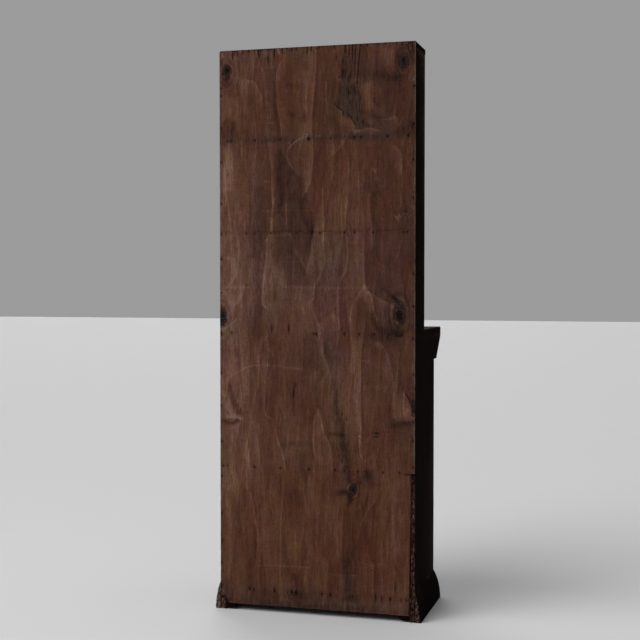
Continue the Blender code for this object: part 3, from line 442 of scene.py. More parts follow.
# (strength, half width, route)
DARK_STROKES = [
    (-0.26, 17, [(146, 1390), (146, 1300), (140, 1180), (135, 1090), (132, 1000), (126, 920)]),
    (-0.22, 3, [(121, 1370), (120, 1260), (116, 1170)]), (-0.20, 5, [(75, 1700), (76, 1620), (80, 1580)]),
    (-0.22, 3, [(320, 1276), (315, 1240), (309, 1208)]), (-0.22, 3, [(252, 1250), (253, 1195)]),
    (-0.26, 12, [(205, 1500), (206, 1380), (208, 1250), (210, 1180)]),
    (-0.24, 12, [(270, 1385), (280, 1330), (296, 1290), (310, 1260)]),
    (-0.26, 13, [(505, 985), (528, 950), (560, 930), (598, 926)]),
    (-0.26, 18, [(505, 900), (545, 915), (592, 905)]), (-0.20, 14, [(519, 880), (540, 868)]),
    (-0.20, 16, [(310, 910), (312, 860), (306, 800)]), (-0.20, 8, [(362, 880), (370, 850), (384, 830)]),
    (-0.26, 5, [(521, 1370), (522, 1300), (530, 1270)]),
    (-0.16, 24, [(530, 1180), (528, 1110), (540, 1090)]),
    (-0.20, 5, [(501, 1080), (500, 1100), (500, 1180)]), (-0.18, 9, [(392, 765), (400, 735), (400, 690)]),
    (-0.22, 14, [(405, 665), (418, 620), (424, 560)]), (-0.24, 14, [(424, 560), (432, 500), (440, 450)]),
    (-0.34, 4, [(257, 758), (253, 725), (253, 690), (259, 655)]),
    (-0.20, 12, [(622, 860), (630, 800), (645, 755)]), (-0.30, 3, [(625, 738), (640, 714), (650, 690)]),
    (-0.22, 11, [(582, 632), (650, 638)]), (-0.20, 9, [(217, 558), (262, 560), (312, 560)]),
    (-0.30, 7, [(8, 625), (35, 622), (60, 630)]), (-0.24, 10, [(36, 742), (46, 705), (66, 662)]),
    (-0.16, 9, [(20, 860), (60, 855)]), (-0.20, 14, [(495, 478), (505, 455), (520, 440)]),
    (-0.20, 10, [(520, 560), (540, 530), (545, 500)]), (-0.24, 8, [(405, 407), (440, 405)]),
    (-0.26, 8, [(446, 400), (440, 370)]), (-0.18, 16, [(256, 395), (268, 372), (285, 360)]),
    (-0.24, 6, [(88, 400), (86, 370)]), (-0.18, 9, [(64, 330), (66, 270), (84, 200), (100, 150)]),
    (-0.26, 5, [(112, 285), (121, 265), (120, 180)]), (-0.26, 4, [(168, 460), (166, 410)]),
    (-0.18, 5, [(150, 380), (140, 345)]), (-0.24, 4, [(209, 470), (211, 430), (208, 395)]),
    (-0.16, 22, [(440, 340), (438, 270), (440, 210)]), (-0.22, 20, [(436, 200), (438, 130), (440, 70)]),
    (-0.28, 5, [(500, 395), (494, 360), (486, 330)]), (-0.18, 12, [(500, 305), (498, 270)]),
    (-0.16, 8, [(600, 320), (598, 270)]), (-0.18, 5, [(588, 200), (600, 165), (606, 140)]),
    (-0.14, 14, [(282, 190), (285, 165)]), (-0.18, 12, [(256, 128), (266, 104)]),
    (-0.18, 16, [(252, 62), (290, 64)]), (-0.16, 20, [(120, 60), (180, 56)]),
    (-0.14, 10, [(90, 140), (104, 110)]), (-0.26, 8, [(236, 1728), (262, 1722), (285, 1722)]),
    (-0.20, 12, [(270, 1690), (284, 1672)]), (-0.30, 9, [(292, 1636), (290, 1612)]),
    (-0.22, 7, [(244, 1640), (252, 1630)]), (-0.20, 8, [(292, 1798), (296, 1780)]),
    (-0.18, 18, [(384, 1615), (394, 1580)]), (-0.22, 24, [(490, 1758), (520, 1752), (556, 1744)]),
    (-0.18, 16, [(560, 1746), (590, 1740), (612, 1734)]), (-0.16, 26, [(500, 1820), (515, 1785)]),
    (-0.26, 7, [(524, 1672), (532, 1655), (540, 1660)]),
    (-0.24, 9, [(500, 1622), (530, 1615), (552, 1606)]),
    (-0.26, 6, [(495, 1592), (512, 1584), (525, 1588)]),
    (-0.24, 10, [(618, 1832), (600, 1800), (602, 1775)]), (-0.12, 16, [(505, 1400), (520, 1385)]),
    (-0.18, 22, [(585, 1690), (578, 1640)]), (-0.20, 4, [(152, 1720), (150, 1640), (146, 1570)]),
    (-0.16, 5, [(190, 1760), (192, 1680), (198, 1600)]), (-0.14, 14, [(60, 1530), (62, 1510)]),
]
# (strength, softness of the edge, outline)
REGIONS = [
    (-0.20, 4, [(206, 1545), (216, 1510), (236, 1476), (262, 1446), (284, 1420), (291, 1395),
                (312, 1340), (322, 1282), (318, 1240), (306, 1190), (290, 1158), (262, 1200),
                (250, 1250), (186, 1250), (187, 1400), (190, 1480), (200, 1520)]),
    (-0.16, 8, [(190, 1240), (250, 1240), (262, 1190), (294, 1124), (335, 1160), (345, 1112),
                (318, 1082), (240, 1080), (232, 1124), (200, 1130), (182, 1180)]),
    (-0.14, 7, [(362, 1160), (375, 1125), (402, 1100), (420, 1110), (415, 1150), (400, 1120),
                (380, 1080), (345, 1085)]),
    (-0.16, 5, [(455, 905), (454, 985), (464, 1028), (478, 1045), (494, 1025), (506, 975), (520, 905)]),
    (-0.24, 5, [(27, 1629), (14, 1618), (6, 1595), (4, 1562), (68, 1562), (60, 1592), (52, 1616)]),
    (-0.20, 6, [(607, 1585), (616, 1600), (622, 1618), (636, 1600), (655, 1600), (655, 1558), (580, 1558)]),
    (0.20, 5, [(482, 1722), (520, 1728), (545, 1700), (545, 1665), (528, 1640), (492, 1640), (486, 1680)]),
    (0.22, 5, [(402, 1650), (418, 1640), (424, 1618), (448, 1610), (466, 1582), (440, 1582), (406, 1604)]),
    (-0.20, 4, [(276, 530), (292, 534), (306, 512), (308, 470), (304, 448), (296, 428), (282, 446),
                (276, 480)]),
    (0.16, 6, [(20, 1690), (60, 1690), (75, 1640), (55, 1618), (40, 1630), (24, 1628), (10, 1610)]),
    (-0.14, 6, [(12, 1748), (66, 1750), (70, 1700), (15, 1700)]),
    (0.24, 8, [(16, 1530), (36, 1542), (52, 1500), (56, 1440), (50, 1390), (16, 1390), (10, 1460)]),
    (0.05, 10, [(202, 1120), (230, 1122), (232, 1080), (204, 1076)]),
    (0.16, 6, [(588, 735), (640, 700), (636, 655), (590, 658)]),
    (0.14, 10, [(302, 465), (330, 450), (330, 360), (305, 310), (298, 380)]),
    (0.16, 8, [(545, 1835), (590, 1825), (594, 1780), (560, 1770), (545, 1800)]),
]
# (strength, centre, radii): wood tone, and in the broad patches also painted light, paler on the left and
# darker on the right
TONE_AND_LIGHT_PATCHES = [
    (0.16, (30, 1080), (70, 640)), (0.09, (60, 620), (100, 330)), (0.05, (100, 1380), (110, 130)),
    (-0.09, (440, 1690), (140, 120)), (-0.12, (600, 1740), (80, 100)), (-0.12, (590, 1290), (85, 240)),
    (-0.05, (250, 1490), (90, 110)), (0.12, (160, 1090), (170, 140)), (0.07, (350, 985), (130, 70)),
    (-0.16, (605, 975), (60, 75)), (-0.04, (560, 1130), (90, 60)), (0.08, (445, 720), (90, 90)),
    (-0.08, (590, 850), (80, 90)), (-0.08, (480, 300), (70, 150)), (0.08, (110, 420), (140, 210)),
    (-0.12, (300, 90), (230, 70)), (0.10, (590, 160), (75, 140)), (-0.12, (640, 1600), (60, 60)),
    (-0.11, (235, 1680), (60, 120)), (-0.05, (411, 1240), (50, 70)), (0.12, (450, 1090), (90, 70)),
    (0.10, (415, 985), (60, 60)), (-0.06, (596, 1480), (60, 70)), (0.03, (330, 470), (420, 420)),
    (0.08, (90, 1755), (80, 50)), (-0.09, (90, 350), (90, 60)), (-0.08, (500, 350), (60, 60)),
    (-0.09, (600, 735), (50, 50)), (0.05, (520, 1110), (70, 60)), (-0.09, (268, 1350), (34, 90)),
    (0.06, (330, 100), (330, 40)),
]
print(len(RING_EDGES), "ring edges,", len(DARK_STROKES), "strokes,", len(REGIONS), "regions")

# %% [markdown]
# Scratches are thin and pale, and cut across the grain. Grey is where the surface has weathered or worn
# to fluff, and stain is dirt, iron from the nails and old damp. They are charted apart, because each has
# its own colour in the finish.

# %% Scratches, weathering and stains
# (strength, half width, route)
SCRATCHES = [
    (0.50, 1.8, [(300, 1560), (270, 1550), (242, 1528), (232, 1505), (240, 1476), (253, 1455)]),
    (0.40, 1.6, [(282, 1561), (262, 1545), (248, 1533)]), (0.34, 1.6, [(164, 1608), (190, 1607)]),
    (0.26, 1.4, [(150, 1652), (180, 1651), (222, 1653)]), (0.44, 1.8, [(545, 1605), (565, 1606)]),
    (0.40, 1.6, [(155, 1419), (178, 1417)]),
    (0.36, 1.4, [(20, 770), (70, 795), (105, 813), (170, 817), (230, 811), (296, 805)]),
    (0.34, 1.6, [(130, 152), (200, 157), (312, 158)]), (0.34, 1.6, [(382, 139), (410, 140), (470, 141)]),
    (0.26, 3.0, [(20, 1073), (60, 1072), (102, 1073)]),
    (0.20, 3.0, [(220, 1074), (300, 1073), (380, 1070), (505, 1074)]),
    (0.24, 1.6, [(150, 1322), (230, 1323), (320, 1321)]), (0.40, 1.6, [(484, 838), (500, 836), (512, 840)]),
    (0.36, 1.6, [(170, 868), (186, 852), (198, 842)]), (0.50, 2.4, [(473, 594), (480, 592)]),
    (0.40, 2.0, [(640, 1380), (650, 1362)]), (0.60, 3.4, [(594, 1298), (601, 1291)]),
    (0.50, 2.6, [(604, 1304), (609, 1296)]), (0.40, 2.0, [(516, 1450), (522, 1448), (531, 1436)]),
    (0.34, 1.8, [(524, 1418), (534, 1420), (546, 1410)]), (0.40, 2.2, [(646, 1330), (651, 1318)]),
    (0.36, 1.8, [(540, 1398), (552, 1392)]), (0.40, 3.0, [(25, 1167), (34, 1167)]),
    (0.30, 1.6, [(135, 172), (140, 166)]), (0.50, 2.2, [(597, 968), (604, 950), (612, 962)]),
    (0.26, 1.4, [(480, 186), (520, 178), (560, 186)]), (0.90, 2.2, [(166, 1846), (167, 1834)]),
    (0.80, 2.6, [(202, 1844), (207, 1830)]), (0.60, 2.0, [(70, 1846), (78, 1841)]),
    (0.60, 2.4, [(8, 1840), (11, 1830)]), (0.45, 2.2, [(96, 1846), (112, 1845)]),
    (0.50, 1.8, [(35, 1846), (41, 1842)]), (0.70, 2.4, [(650, 1728), (653, 1738)]),
    (0.50, 2.2, [(575, 1607), (584, 1610)]), (0.40, 2.0, [(126, 1843), (132, 1836)]),
    (0.45, 1.8, [(290, 1566), (302, 1568)]), (0.35, 1.5, [(330, 1560), (345, 1561)]),
    (0.40, 1.6, [(596, 978), (601, 972)]), (0.36, 1.8, [(224, 1712), (232, 1706)]),
    (0.40, 2.0, [(52, 645), (60, 641)]),
]
# (strength, centre, radii)
WEATHERED = [
    (0.60, (648, 1730), (12, 16)), (0.45, (176, 1790), (22, 70)), (0.40, (176, 1640), (20, 90)),
    (0.60, (128, 1240), (24, 260)), (0.60, (255, 1330), (60, 170)), (0.20, (200, 1100), (90, 90)),
    (0.35, (360, 1110), (80, 130)), (0.16, (45, 1060), (60, 170)), (0.60, (585, 985), (62, 80)),
    (0.35, (380, 860), (36, 80)), (0.40, (400, 700), (22, 110)), (0.60, (426, 520), (20, 110)),
    (0.55, (438, 110), (26, 110)), (0.50, (330, 35), (340, 30)), (0.45, (520, 1600), (60, 24)),
    (0.30, (480, 1760), (80, 40)), (0.45, (330, 1554), (340, 22)), (0.45, (50, 1740), (44, 30)),
    (0.45, (40, 1835), (60, 16)), (0.40, (210, 1838), (60, 16)), (0.40, (640, 1820), (22, 30)),
    (0.35, (560, 1560), (110, 30)), (0.30, (490, 1400), (60, 50)), (0.30, (250, 560), (70, 20)),
    (0.25, (330, 850), (50, 90)), (0.30, (30, 900), (50, 60)), (0.25, (290, 480), (18, 50)),
]
# (warmth, centre, radii): above zero the wood is more orange, below zero more mauve
WARMTH = [
    (0.95, (330, 240), (430, 290)), (-0.66, (440, 1125), (300, 150)), (-0.45, (150, 1200), (120, 110)),
    (0.50, (170, 1650), (190, 100)), (0.45, (370, 1440), (150, 110)), (-0.40, (380, 850), (330, 130)),
    (-0.40, (80, 1770), (90, 60)), (-0.40, (590, 1130), (70, 130)), (-0.62, (330, 70), (380, 62)),
    (-0.30, (80, 700), (120, 160)), (0.25, (40, 1120), (80, 90)), (-0.50, (120, 1000), (160, 70)),
]
# (strength, centre, radii)
STAINS = [
    (0.26, (130, 1553), (260, 10)), (0.34, (540, 1553), (190, 13)), (0.34, (458, 1556), (12, 12)),
    (0.34, (330, 1254), (420, 4)), (0.40, (330, 30), (420, 12)), (0.30, (20, 60), (40, 34)),
    (0.30, (270, 66), (45, 20)), (0.60, (420, 1756), (10, 14)), (0.45, (400, 1808), (9, 18)),
    (0.50, (426, 1790), (10, 40)), (0.34, (620, 1800), (36, 26)), (0.30, (130, 1847), (110, 4)),
    (0.30, (330, 1848), (330, 3)), (0.34, (292, 1622), (11, 14)), (0.30, (250, 1634), (12, 9)),
    (0.40, (395, 598), (24, 8)), (0.75, (445, 388), (12, 18)), (0.50, (420, 411), (28, 8)),
    (0.22, (494, 452), (36, 34)),
]
# (strength, half width, route)
STAIN_STROKES = [
    (0.34, 9, [(552, 1068), (576, 1052), (598, 1030)]), (0.50, 7, [(580, 1046), (601, 1026), (610, 1004)]),
    (0.40, 7, [(8, 626), (36, 624), (60, 632)]), (0.26, 14, [(572, 962), (585, 946), (600, 938)]),
    (0.22, 12, [(526, 962), (548, 940), (580, 930)]), (0.34, 8, [(34, 742), (46, 697), (64, 658)]),
    (0.40, 8, [(400, 735), (400, 690), (410, 655), (420, 620), (420, 590)]),
    (0.42, 10, [(420, 590), (430, 545), (436, 500), (446, 448)]), (0.35, 9, [(585, 634), (648, 640)]),
    (0.50, 4, [(630, 730), (640, 712), (649, 688)]), (0.30, 12, [(437, 190), (436, 130), (438, 70)]),
    (0.40, 9, [(424, 60), (458, 64)]), (0.12, 18, [(490, 1756), (520, 1750), (550, 1742)]),
    (0.14, 10, [(570, 1744), (592, 1738), (612, 1738)]), (0.30, 7, [(440, 405), (405, 407)]),
    (0.26, 11, [(466, 436), (490, 460), (514, 476)]),
    (0.80, 2.0, [(392, 1662), (404, 1650), (417, 1641), (421, 1626)]),
    (0.90, 1.8, [(444, 1622), (452, 1608), (462, 1594)]), (0.60, 2.2, [(487, 1604), (486, 1582)]),
    (0.60, 1.8, [(473, 1700), (478, 1678), (482, 1650)]), (0.45, 2.0, [(410, 1752), (410, 1690)]),
]
print(len(SCRATCHES), "scratches,", len(STAINS), "stains")

# %% [markdown]
# ## From chart to surface
#
# The chart becomes numbers on the points of the mesh: how pale, how grey, how stained each spot is, some
# of it painted light and shade. A finer way would be a painted picture, but then nothing could be moved or
# explained. The routes are smoothed with Catmull-Rom curves first, so that a handful of points gives a
# flowing line.

# %% Lines and outlines
def flowing(route, steps=8):
    """A smooth line through the route's points, as an array."""
    points = [np.array(p, float) for p in route]
    points = [2 * points[0] - points[1], *points, 2 * points[-1] - points[-2]]
    line = []
    for a, b, c, d in zip(points, points[1:], points[2:], points[3:]):
        for i in range(steps):
            t = i / steps
            line.append(0.5 * (2 * b + (c - a) * t + (2 * a - 5 * b + 4 * c - d) * t**2
                               + (3 * b - a - 3 * c + d) * t**3))
    return np.array([*line, points[-2]])


def segments(spots, line):
    """The segments of a line, each with the square of every spot's distance from it."""
    for start, end in zip(line, line[1:]):
        run = end - start
        along = np.clip((spots - start) @ run / max(run @ run, 1e-9), 0, 1)
        gap = spots - start - along[:, None] * run
        yield start, run, np.einsum("ij,ij->i", gap, gap)


def distance_to_line(spots, line):
    """How far each spot is from a line of joined segments."""
    nearest = np.full(len(spots), np.inf)
    for _, _, distance in segments(spots, line):
        nearest = np.minimum(nearest, distance)
    return np.sqrt(nearest)


def nearest_side(spots, line):
    """On which side of the line each spot lies: 1 or -1, by the segment nearest to it."""
    nearest = np.full(len(spots), np.inf)
    side = np.ones(len(spots))
    for start, run, distance in segments(spots, line):
        closer = distance < nearest
        nearest = np.where(closer, distance, nearest)
        turn = run[0] * (spots[:, 1] - start[1]) - run[1] * (spots[:, 0] - start[0])
        side = np.where(closer, np.sign(turn), side)
    return side


def within(spots, outline):
    """Which spots lie inside a closed outline."""
    inside = np.zeros(len(spots), bool)
    x, y = spots[:, 0], spots[:, 1]
    for (x0, y0), (x1, y1) in zip(outline, [*outline[1:], outline[0]]):
        crosses = (y0 > y) != (y1 > y)
        slope = (x1 - x0) / (y1 - y0) if y1 != y0 else 0.0
        inside ^= crosses & (x < x0 + (y - y0) * slope)
    return inside


def depth_in(spots, outline):
    """How far inside a closed outline each spot is; outside it is below zero."""
    loop = np.array([*outline, outline[0]], float)
    return np.where(within(spots, outline), 1.0, -1.0) * distance_to_line(spots, loop)


print("line tools ready")

# %% [markdown]
# A mark is strongest on its line or in its middle and fades out with distance. A Gauss bell does that
# with one width to choose, and doesn't leave the visible rim that a straight ramp would.

# %% Brushes
def bell(away, width):
    """1 where the distance is zero, falling smoothly to about a third at the given width."""
    return np.exp(-(away / width) ** 2)


def fade(value, low, high):
    """0 below low, 1 above high, and smooth in between."""
    t = np.clip((value - low) / (high - low), 0, 1)
    return t * t * (3 - 2 * t)


def near_line(spots, line, reach):
    """Indices of the spots in the line's box, widened by a reach, to spare the rest the work."""
    low = line.min(0) - reach
    high = line.max(0) + reach
    return np.flatnonzero(np.all((spots > low) & (spots < high), axis=1))


def oval_reach(spots, centre, radii):
    """Distance from an oval's centre, where 1 is its rim."""
    return np.linalg.norm((spots - centre) / radii, axis=1)


def brush(spots, strokes):
    """Soft strokes along routes, each a bell across its line."""
    total = np.zeros(len(spots))
    for strength, width, route in strokes:
        line = flowing(route)
        close = near_line(spots, line, 3 * width)
        total[close] += strength * bell(distance_to_line(spots[close], line), width)
    return total


def ring_lines(spots, edges):
    """Edges of growth rings: a crisp pale line, pale wood on one side and a little darker on the other."""
    total = np.zeros(len(spots))
    for strength, fading, route in edges:
        line = flowing(route)
        reach = abs(fading)
        close = near_line(spots, line, 2.5 * reach + 6)
        away = distance_to_line(spots[close], line)
        left = nearest_side(spots[close], line) * math.copysign(1, fading) < 0
        glow = np.where(left, np.exp(-(away / reach) ** 1.5), 0.0)
        shade = np.where(left, 0.0, np.exp(-away / (0.8 * reach + 3)) * (1 - bell(away, 2.4)))
        total[close] += strength * (0.34 * bell(away, 2.0) + 0.58 * glow - 0.35 * shade)
    return total


def ovals(spots, patches):
    """Soft oval patches, flatter in the middle than a bell."""
    total = np.zeros(len(spots))
    for strength, centre, radii in patches:
        total += strength * np.exp(-oval_reach(spots, centre, radii)**2.6)
    return total


def ripple(spots, wave_across, wave_up, seed):
    """Smooth noise between -1 and 1 at the spots, with its waves' sizes in millimetres."""
    return np.array([noise.noise((u / wave_across, v / wave_up, seed)) for u, v in spots])


print("brushes ready")

# %% [markdown]
# ## Cutting the sheet's outline
#
# The real sheet has lost its crisp outline: the top edge is a ragged line of splits where nails went in,
# one long edge broke away below a crack, and the corner by the foot is gone. The outline could be cut
# with Booleans, but a Delaunay triangulation that respects the outline and every hole gives a clean
# surface, with small triangles exactly where the chart has fine marks.

# %% Chipped outline
NOTCH_FLOOR = 1836
CORNER_INSET = 0.6
# (step, greatest depth, seed) of the chips along each part of the outline, in millimetres
CHIPS = {"foot": (9.0, 2.2, 1.0), "lost_edge": (4.0, 0.9, 2.0), "right": (9.0, 1.3, 3.0),
         "splits": (5.0, 2.6, 4.0), "top": (5.0, 2.6, 5.0), "left": (9.0, 1.2, 6.0)}
chance = random.Random(11)


def chipped(start, end, step, depth, seed):
    """Points from start to end along an edge, nibbled inwards by up to depth."""
    start = np.array(start, float)
    end = np.array(end, float)
    long = np.linalg.norm(end - start)
    inward = np.array([start[1] - end[1], end[0] - start[0]]) / long
    count = max(2, int(long / step))
    points = []
    for i in range(1, count):
        spot = start + (end - start) * (i / count)
        wide = noise.noise((spot[0] / 14, spot[1] / 14, seed))
        bite = wide + 0.6 * noise.noise((spot[0] / 4, spot[1] / 4, seed))
        points.append(tuple(spot + inward * depth * max(0.0, bite)))
    return points


def sheet_outline():
    """The outline, anticlockwise as the camera sees it, from the worn corner round to the worn corner."""
    outline = [*WORN_CORNER[:1], *chipped(WORN_CORNER[0], LOST_EDGE[-1], *CHIPS["foot"])]
    for a, b in zip(LOST_EDGE[::-1], LOST_EDGE[::-1][1:]):
        outline += [a, *chipped(a, b, *CHIPS["lost_edge"])]
    outline += [(CRACK_MOUTH, CRACK_LEVEL - CRACK_GAPE), (CRACK_TIP, CRACK_LEVEL)]
    above = (SHEET_WIDE, CRACK_LEVEL + 1)
    outline += [(CRACK_MOUTH + 2, CRACK_LEVEL + 1.2), above]
    outline += chipped(above, (SHEET_WIDE, SHEET_HIGH), *CHIPS["right"])
    right = SHEET_WIDE - CORNER_INSET
    outline += [(right, SHEET_HIGH - 1.5)]
    for mouth, tip, wide in sorted(TOP_SPLITS, reverse=True):
        outline += chipped((right, SHEET_HIGH), (mouth + wide / 2, SHEET_HIGH), *CHIPS["splits"])
        drop = chance.uniform(0.2, 1.6)
        outline += [(mouth + wide / 2, SHEET_HIGH - drop), (mouth, max(tip[1], NOTCH_FLOOR))]
        right = mouth - wide / 2
        outline += [(right, SHEET_HIGH - drop * 0.7)]
    outline += chipped((right, SHEET_HIGH), (0, SHEET_HIGH), *CHIPS["top"])
    outline += [(CORNER_INSET, SHEET_HIGH - 2.0)]
    outline += chipped((0, SHEET_HIGH), WORN_CORNER[-1], *CHIPS["left"])
    return outline + WORN_CORNER[:0:-1]


SHEET_OUTLINE = sheet_outline()
print(len(SHEET_OUTLINE), "points round the sheet")

# %% [markdown]
# Splits below the top edge, slits beside nails, worm holes and fields of fine cracks are all holes in the
# triangulation. Their corners come from chance with a fixed seed. A hole that would meet another one, or
# the sheet's edge, is left out, because crossing loops would tear the mesh.

# %% Holes in the sheet
HOLE_SIDES = 7
HOLE_GAP = 1.0
SHEET_HOLES = []


def ring_hole(centre, across, up):
    """A small hole's outline, clockwise, so that the wood lies on the left of every edge."""
    turn = chance.uniform(0, math.tau)
    corners = [turn - math.tau * i / HOLE_SIDES for i in range(HOLE_SIDES)]
    return [(centre[0] + across * math.cos(a), centre[1] + up * math.sin(a)) for a in corners]


def slit_hole(centre, across, up):
    """A slit's outline, clockwise: pointed above and below, with a slight lean."""
    lean = chance.uniform(-0.8, 0.8)
    u, v = centre
    half_lean = lean * 0.5
    right = [(u + lean, v + up), (u + across * 0.9 + half_lean, v + up * 0.4), (u + across, v - up * 0.3)]
    left = [(u - lean, v - up), (u - across, v - up * 0.25), (u - across * 0.7 + half_lean, v + up * 0.5)]
    return right + left


def add_hole(loop):
    """Keeps a hole only where it stays inside the sheet and clear of the holes before it."""
    low = np.min(loop, axis=0) - HOLE_GAP
    high = np.max(loop, axis=0) + HOLE_GAP
    clear = all(np.any(low > np.max(other, axis=0)) or np.any(high < np.min(other, axis=0))
                for other in SHEET_HOLES)
    if clear and within(np.array(loop), SHEET_OUTLINE).all():
        SHEET_HOLES.append(loop)


for mouth, tip, wide in TOP_SPLITS:
    if tip[1] < NOTCH_FLOOR - 3:
        top = np.array((mouth, NOTCH_FLOOR - 0.8))
        low = np.array(tip, float)
        side = np.array((wide * 0.42, 0.0))
        middle = (top + low) / 2 + (chance.uniform(-1, 1), 0)
        add_hole([tuple(p) for p in (top + side * 0.5, middle + side, low, middle - side, top - side)])
for slit in SLITS:
    add_hole(slit_hole(*slit))
for spot in WORM_HOLES:
    size = chance.uniform(0.8, 1.4)
    add_hole(ring_hole(spot, size, size * chance.uniform(1.0, 1.5)))
for low, high, count in CRACKED:
    for _ in range(count):
        spot = (chance.uniform(low[0], high[0]), chance.uniform(low[1], high[1]))
        add_hole(slit_hole(spot, chance.uniform(0.35, 0.85), chance.uniform(3, 11)))
print(len(SHEET_HOLES), "holes in the sheet")

# %% [markdown]
# Points are laid on a coarse lattice, closer along thin strokes and round knots. The triangulation then
# links them. A second, bare triangulation of the same outline closes the inner face, and quads join the
# two.

# %% Points on the sheet
LATTICE = (4.6, 6.0)
POINT_CELL = 1.5
KEEP_OFF = 1.1


def lattice(low, high, step):
    us = np.arange(low[0], high[0], step[0])
    vs = np.arange(low[1], high[1], step[1])
    return np.array([(u + (step[0] / 2 if i % 2 else 0), v) for i, v in enumerate(vs) for u in us])


def beside(route, step, offsets):
    """Points along a route and at some offsets from it, where a thin stroke needs them."""
    line = flowing(route)
    runs = np.linalg.norm(np.diff(line, axis=0), axis=1)
    total = np.concatenate([[0], np.cumsum(runs)])
    at = np.arange(0, total[-1], step)
    centre = np.stack([np.interp(at, total, line[:, k]) for k in range(2)], 1)
    heading = np.gradient(centre, axis=0) if len(centre) > 1 else np.array([[0.0, 1.0]])
    normal = np.stack([heading[:, 1], -heading[:, 0]], 1)
    normal /= np.maximum(np.linalg.norm(normal, axis=1), 1e-9)[:, None]
    return np.concatenate([centre + normal * k for k in offsets])


def spaced(points, cell):
    """Keeps one point in each square cell, so that crowded strokes don't pile points up."""
    keys = np.round(points / cell).astype(int)
    _, first = np.unique(keys, axis=0, return_index=True)
    return points[np.sort(first)]


def sheet_points():
    """The inner points: dense along thin strokes, round knots and in the patch, and clear of every cut."""
    near = [beside(route, 2.6, (-3.4, -1.7, 0.0, 1.7, 3.4)) for _, _, route in RING_EDGES]
    near += [beside(route, 2.4, (-1.8, 0.0, 1.8)) for _, _, route in SCRATCHES]
    for (u, v), (ru, rv), _ in KNOTS.values():
        reach = (ru * 1.8, rv * 1.8)
        near.append(lattice((u - reach[0], v - reach[1]), (u + reach[0], v + reach[1]), (1.7, 1.7)))
    rim = flowing([*PEELED, PEELED[0]], 4)
    near.append(beside([tuple(p) for p in rim], 2.0, (-1.2, 0.0, 1.2)))
    patch = np.array(PEELED, float)
    inside = lattice(patch.min(0), patch.max(0), (3.0, 3.0))
    near.append(inside[within(inside, PEELED)])
    near = spaced(np.concatenate(near), POINT_CELL)
    coarse = lattice((2, SHEET_LOW + 2), (SHEET_WIDE - 2, SHEET_HIGH - 2), LATTICE)
    points = spaced(np.concatenate([near, coarse]), POINT_CELL)
    points = points[within(points, SHEET_OUTLINE)]
    for outline in [SHEET_OUTLINE, *SHEET_HOLES]:
        loop = np.array([*outline, outline[0]], float)
        close = near_line(points, loop, KEEP_OFF)
        bad = distance_to_line(points[close], loop) < KEEP_OFF
        if outline is not SHEET_OUTLINE:
            bad |= within(points[close], outline)
        points = np.delete(points, close[bad], axis=0)
    return points


SHEET_SPOTS = sheet_points()
print(len(SHEET_SPOTS), "points inside the sheet")

# %% [markdown]
# One function turns an outline with holes and inner points into a closed board. Each hole becomes a blind
# pit, because real worm holes and slits don't go through. Three functions say where the points of the
# face, of the back and of the pits' floors go in space.

# %% A closed board from an outline
def triangulate(outline, holes, inner):
    """Triangles inside the outline and outside the holes, and where each point of the loops went."""
    points = [Vector(p) for p in outline]
    loops = [list(range(len(outline)))]
    for hole in holes:
        loops.append(list(range(len(points), len(points) + len(hole))))
        points += [Vector(p) for p in hole]
    points += [Vector(p) for p in inner]
    areas = [loops[0], *(loop[::-1] for loop in loops[1:])]
    spots, _, triangles, sources, _, origins = delaunay_2d_cdt(points, [], areas, 1, 1e-6)
    kept = [t for t, origin in zip(triangles, origins) if max(origin) == 0]
    went = {}
    for new, olds in enumerate(sources):
        for old in olds:
            went[old] = new
    return np.array([tuple(s) for s in spots]), kept, [[went[i] for i in loop] for loop in loops]


def closed_board(name, outline, pits, inner, face_place, back_place, pit_place):
    """A board whose face has all the points and blind pits, and whose back has only the outline."""
    spots, triangles, loops = triangulate(outline, pits, inner)
    bare_spots, bare_triangles, bare_loops = triangulate(outline, [], [])
    vertices = [*face_place(spots), *back_place(bare_spots)]
    shift = len(spots)
    floors = [[i + shift for i in bare_loops[0]]]
    for loop in loops[1:]:
        floors.append(list(range(len(vertices), len(vertices) + len(loop))))
        vertices += pit_place(spots[loop])
    walls = []
    for loop, floor in zip(loops, floors):
        walls += zip(loop, floor, [*floor[1:], floor[0]], [*loop[1:], loop[0]])
    walls += [floor[::-1] for floor in floors[1:]]
    back = [[shift + i for i in reversed(t)] for t in bare_triangles]
    mesh = bpy.data.meshes.new(name)
    mesh.from_pydata(vertices, [], [*triangles, *walls, *back])
    groups = [0] * len(triangles) + [1] * len(walls) + [2] * len(back)
    mesh.polygons.foreach_set("material_index", groups)
    return mesh, spots


def store(mesh, name, values):
    """Keeps a number on every point of the face; the back's points get zero."""
    layer = mesh.attributes.new(name, "FLOAT", "POINT")
    padded = np.zeros(len(mesh.vertices), np.float32)
    padded[:len(values)] = values
    layer.data.foreach_set("value", padded)


print("board tools ready")

# %% [markdown]
# ## The sheet's relief
#
# Nothing on it is quite flat: the peeled patch lies a ply lower and is rough, knots have shrunk and
# cracked, hammered nails sit in dimples, and the edges are rubbed round. These are real moves of the
# mesh, some tenths of a millimetre deep. The face starts a little low, so that nail heads stand proud of
# it and still stay inside the CAD model's box.

# %% Relief of the sheet
FACE_DEPTH = 0.35
RIPPLE_DEPTH = 0.05
PEEL_DEPTH = 0.75
PEEL_ROUGH = 0.14
# The patch's rim grows softer by this much, from the lower of these two levels to the upper
PEEL_FADE = 7.0
PEEL_FADE_FROM = 1665
PEEL_FADE_TO = 1715
KNOT_SPOKES = 7
DIMPLE = 0.35
DIMPLE_REACH = 4.0
SIDE_RUB = (0.5, 3.0)
TOP_RUB = (0.8, 4.0)


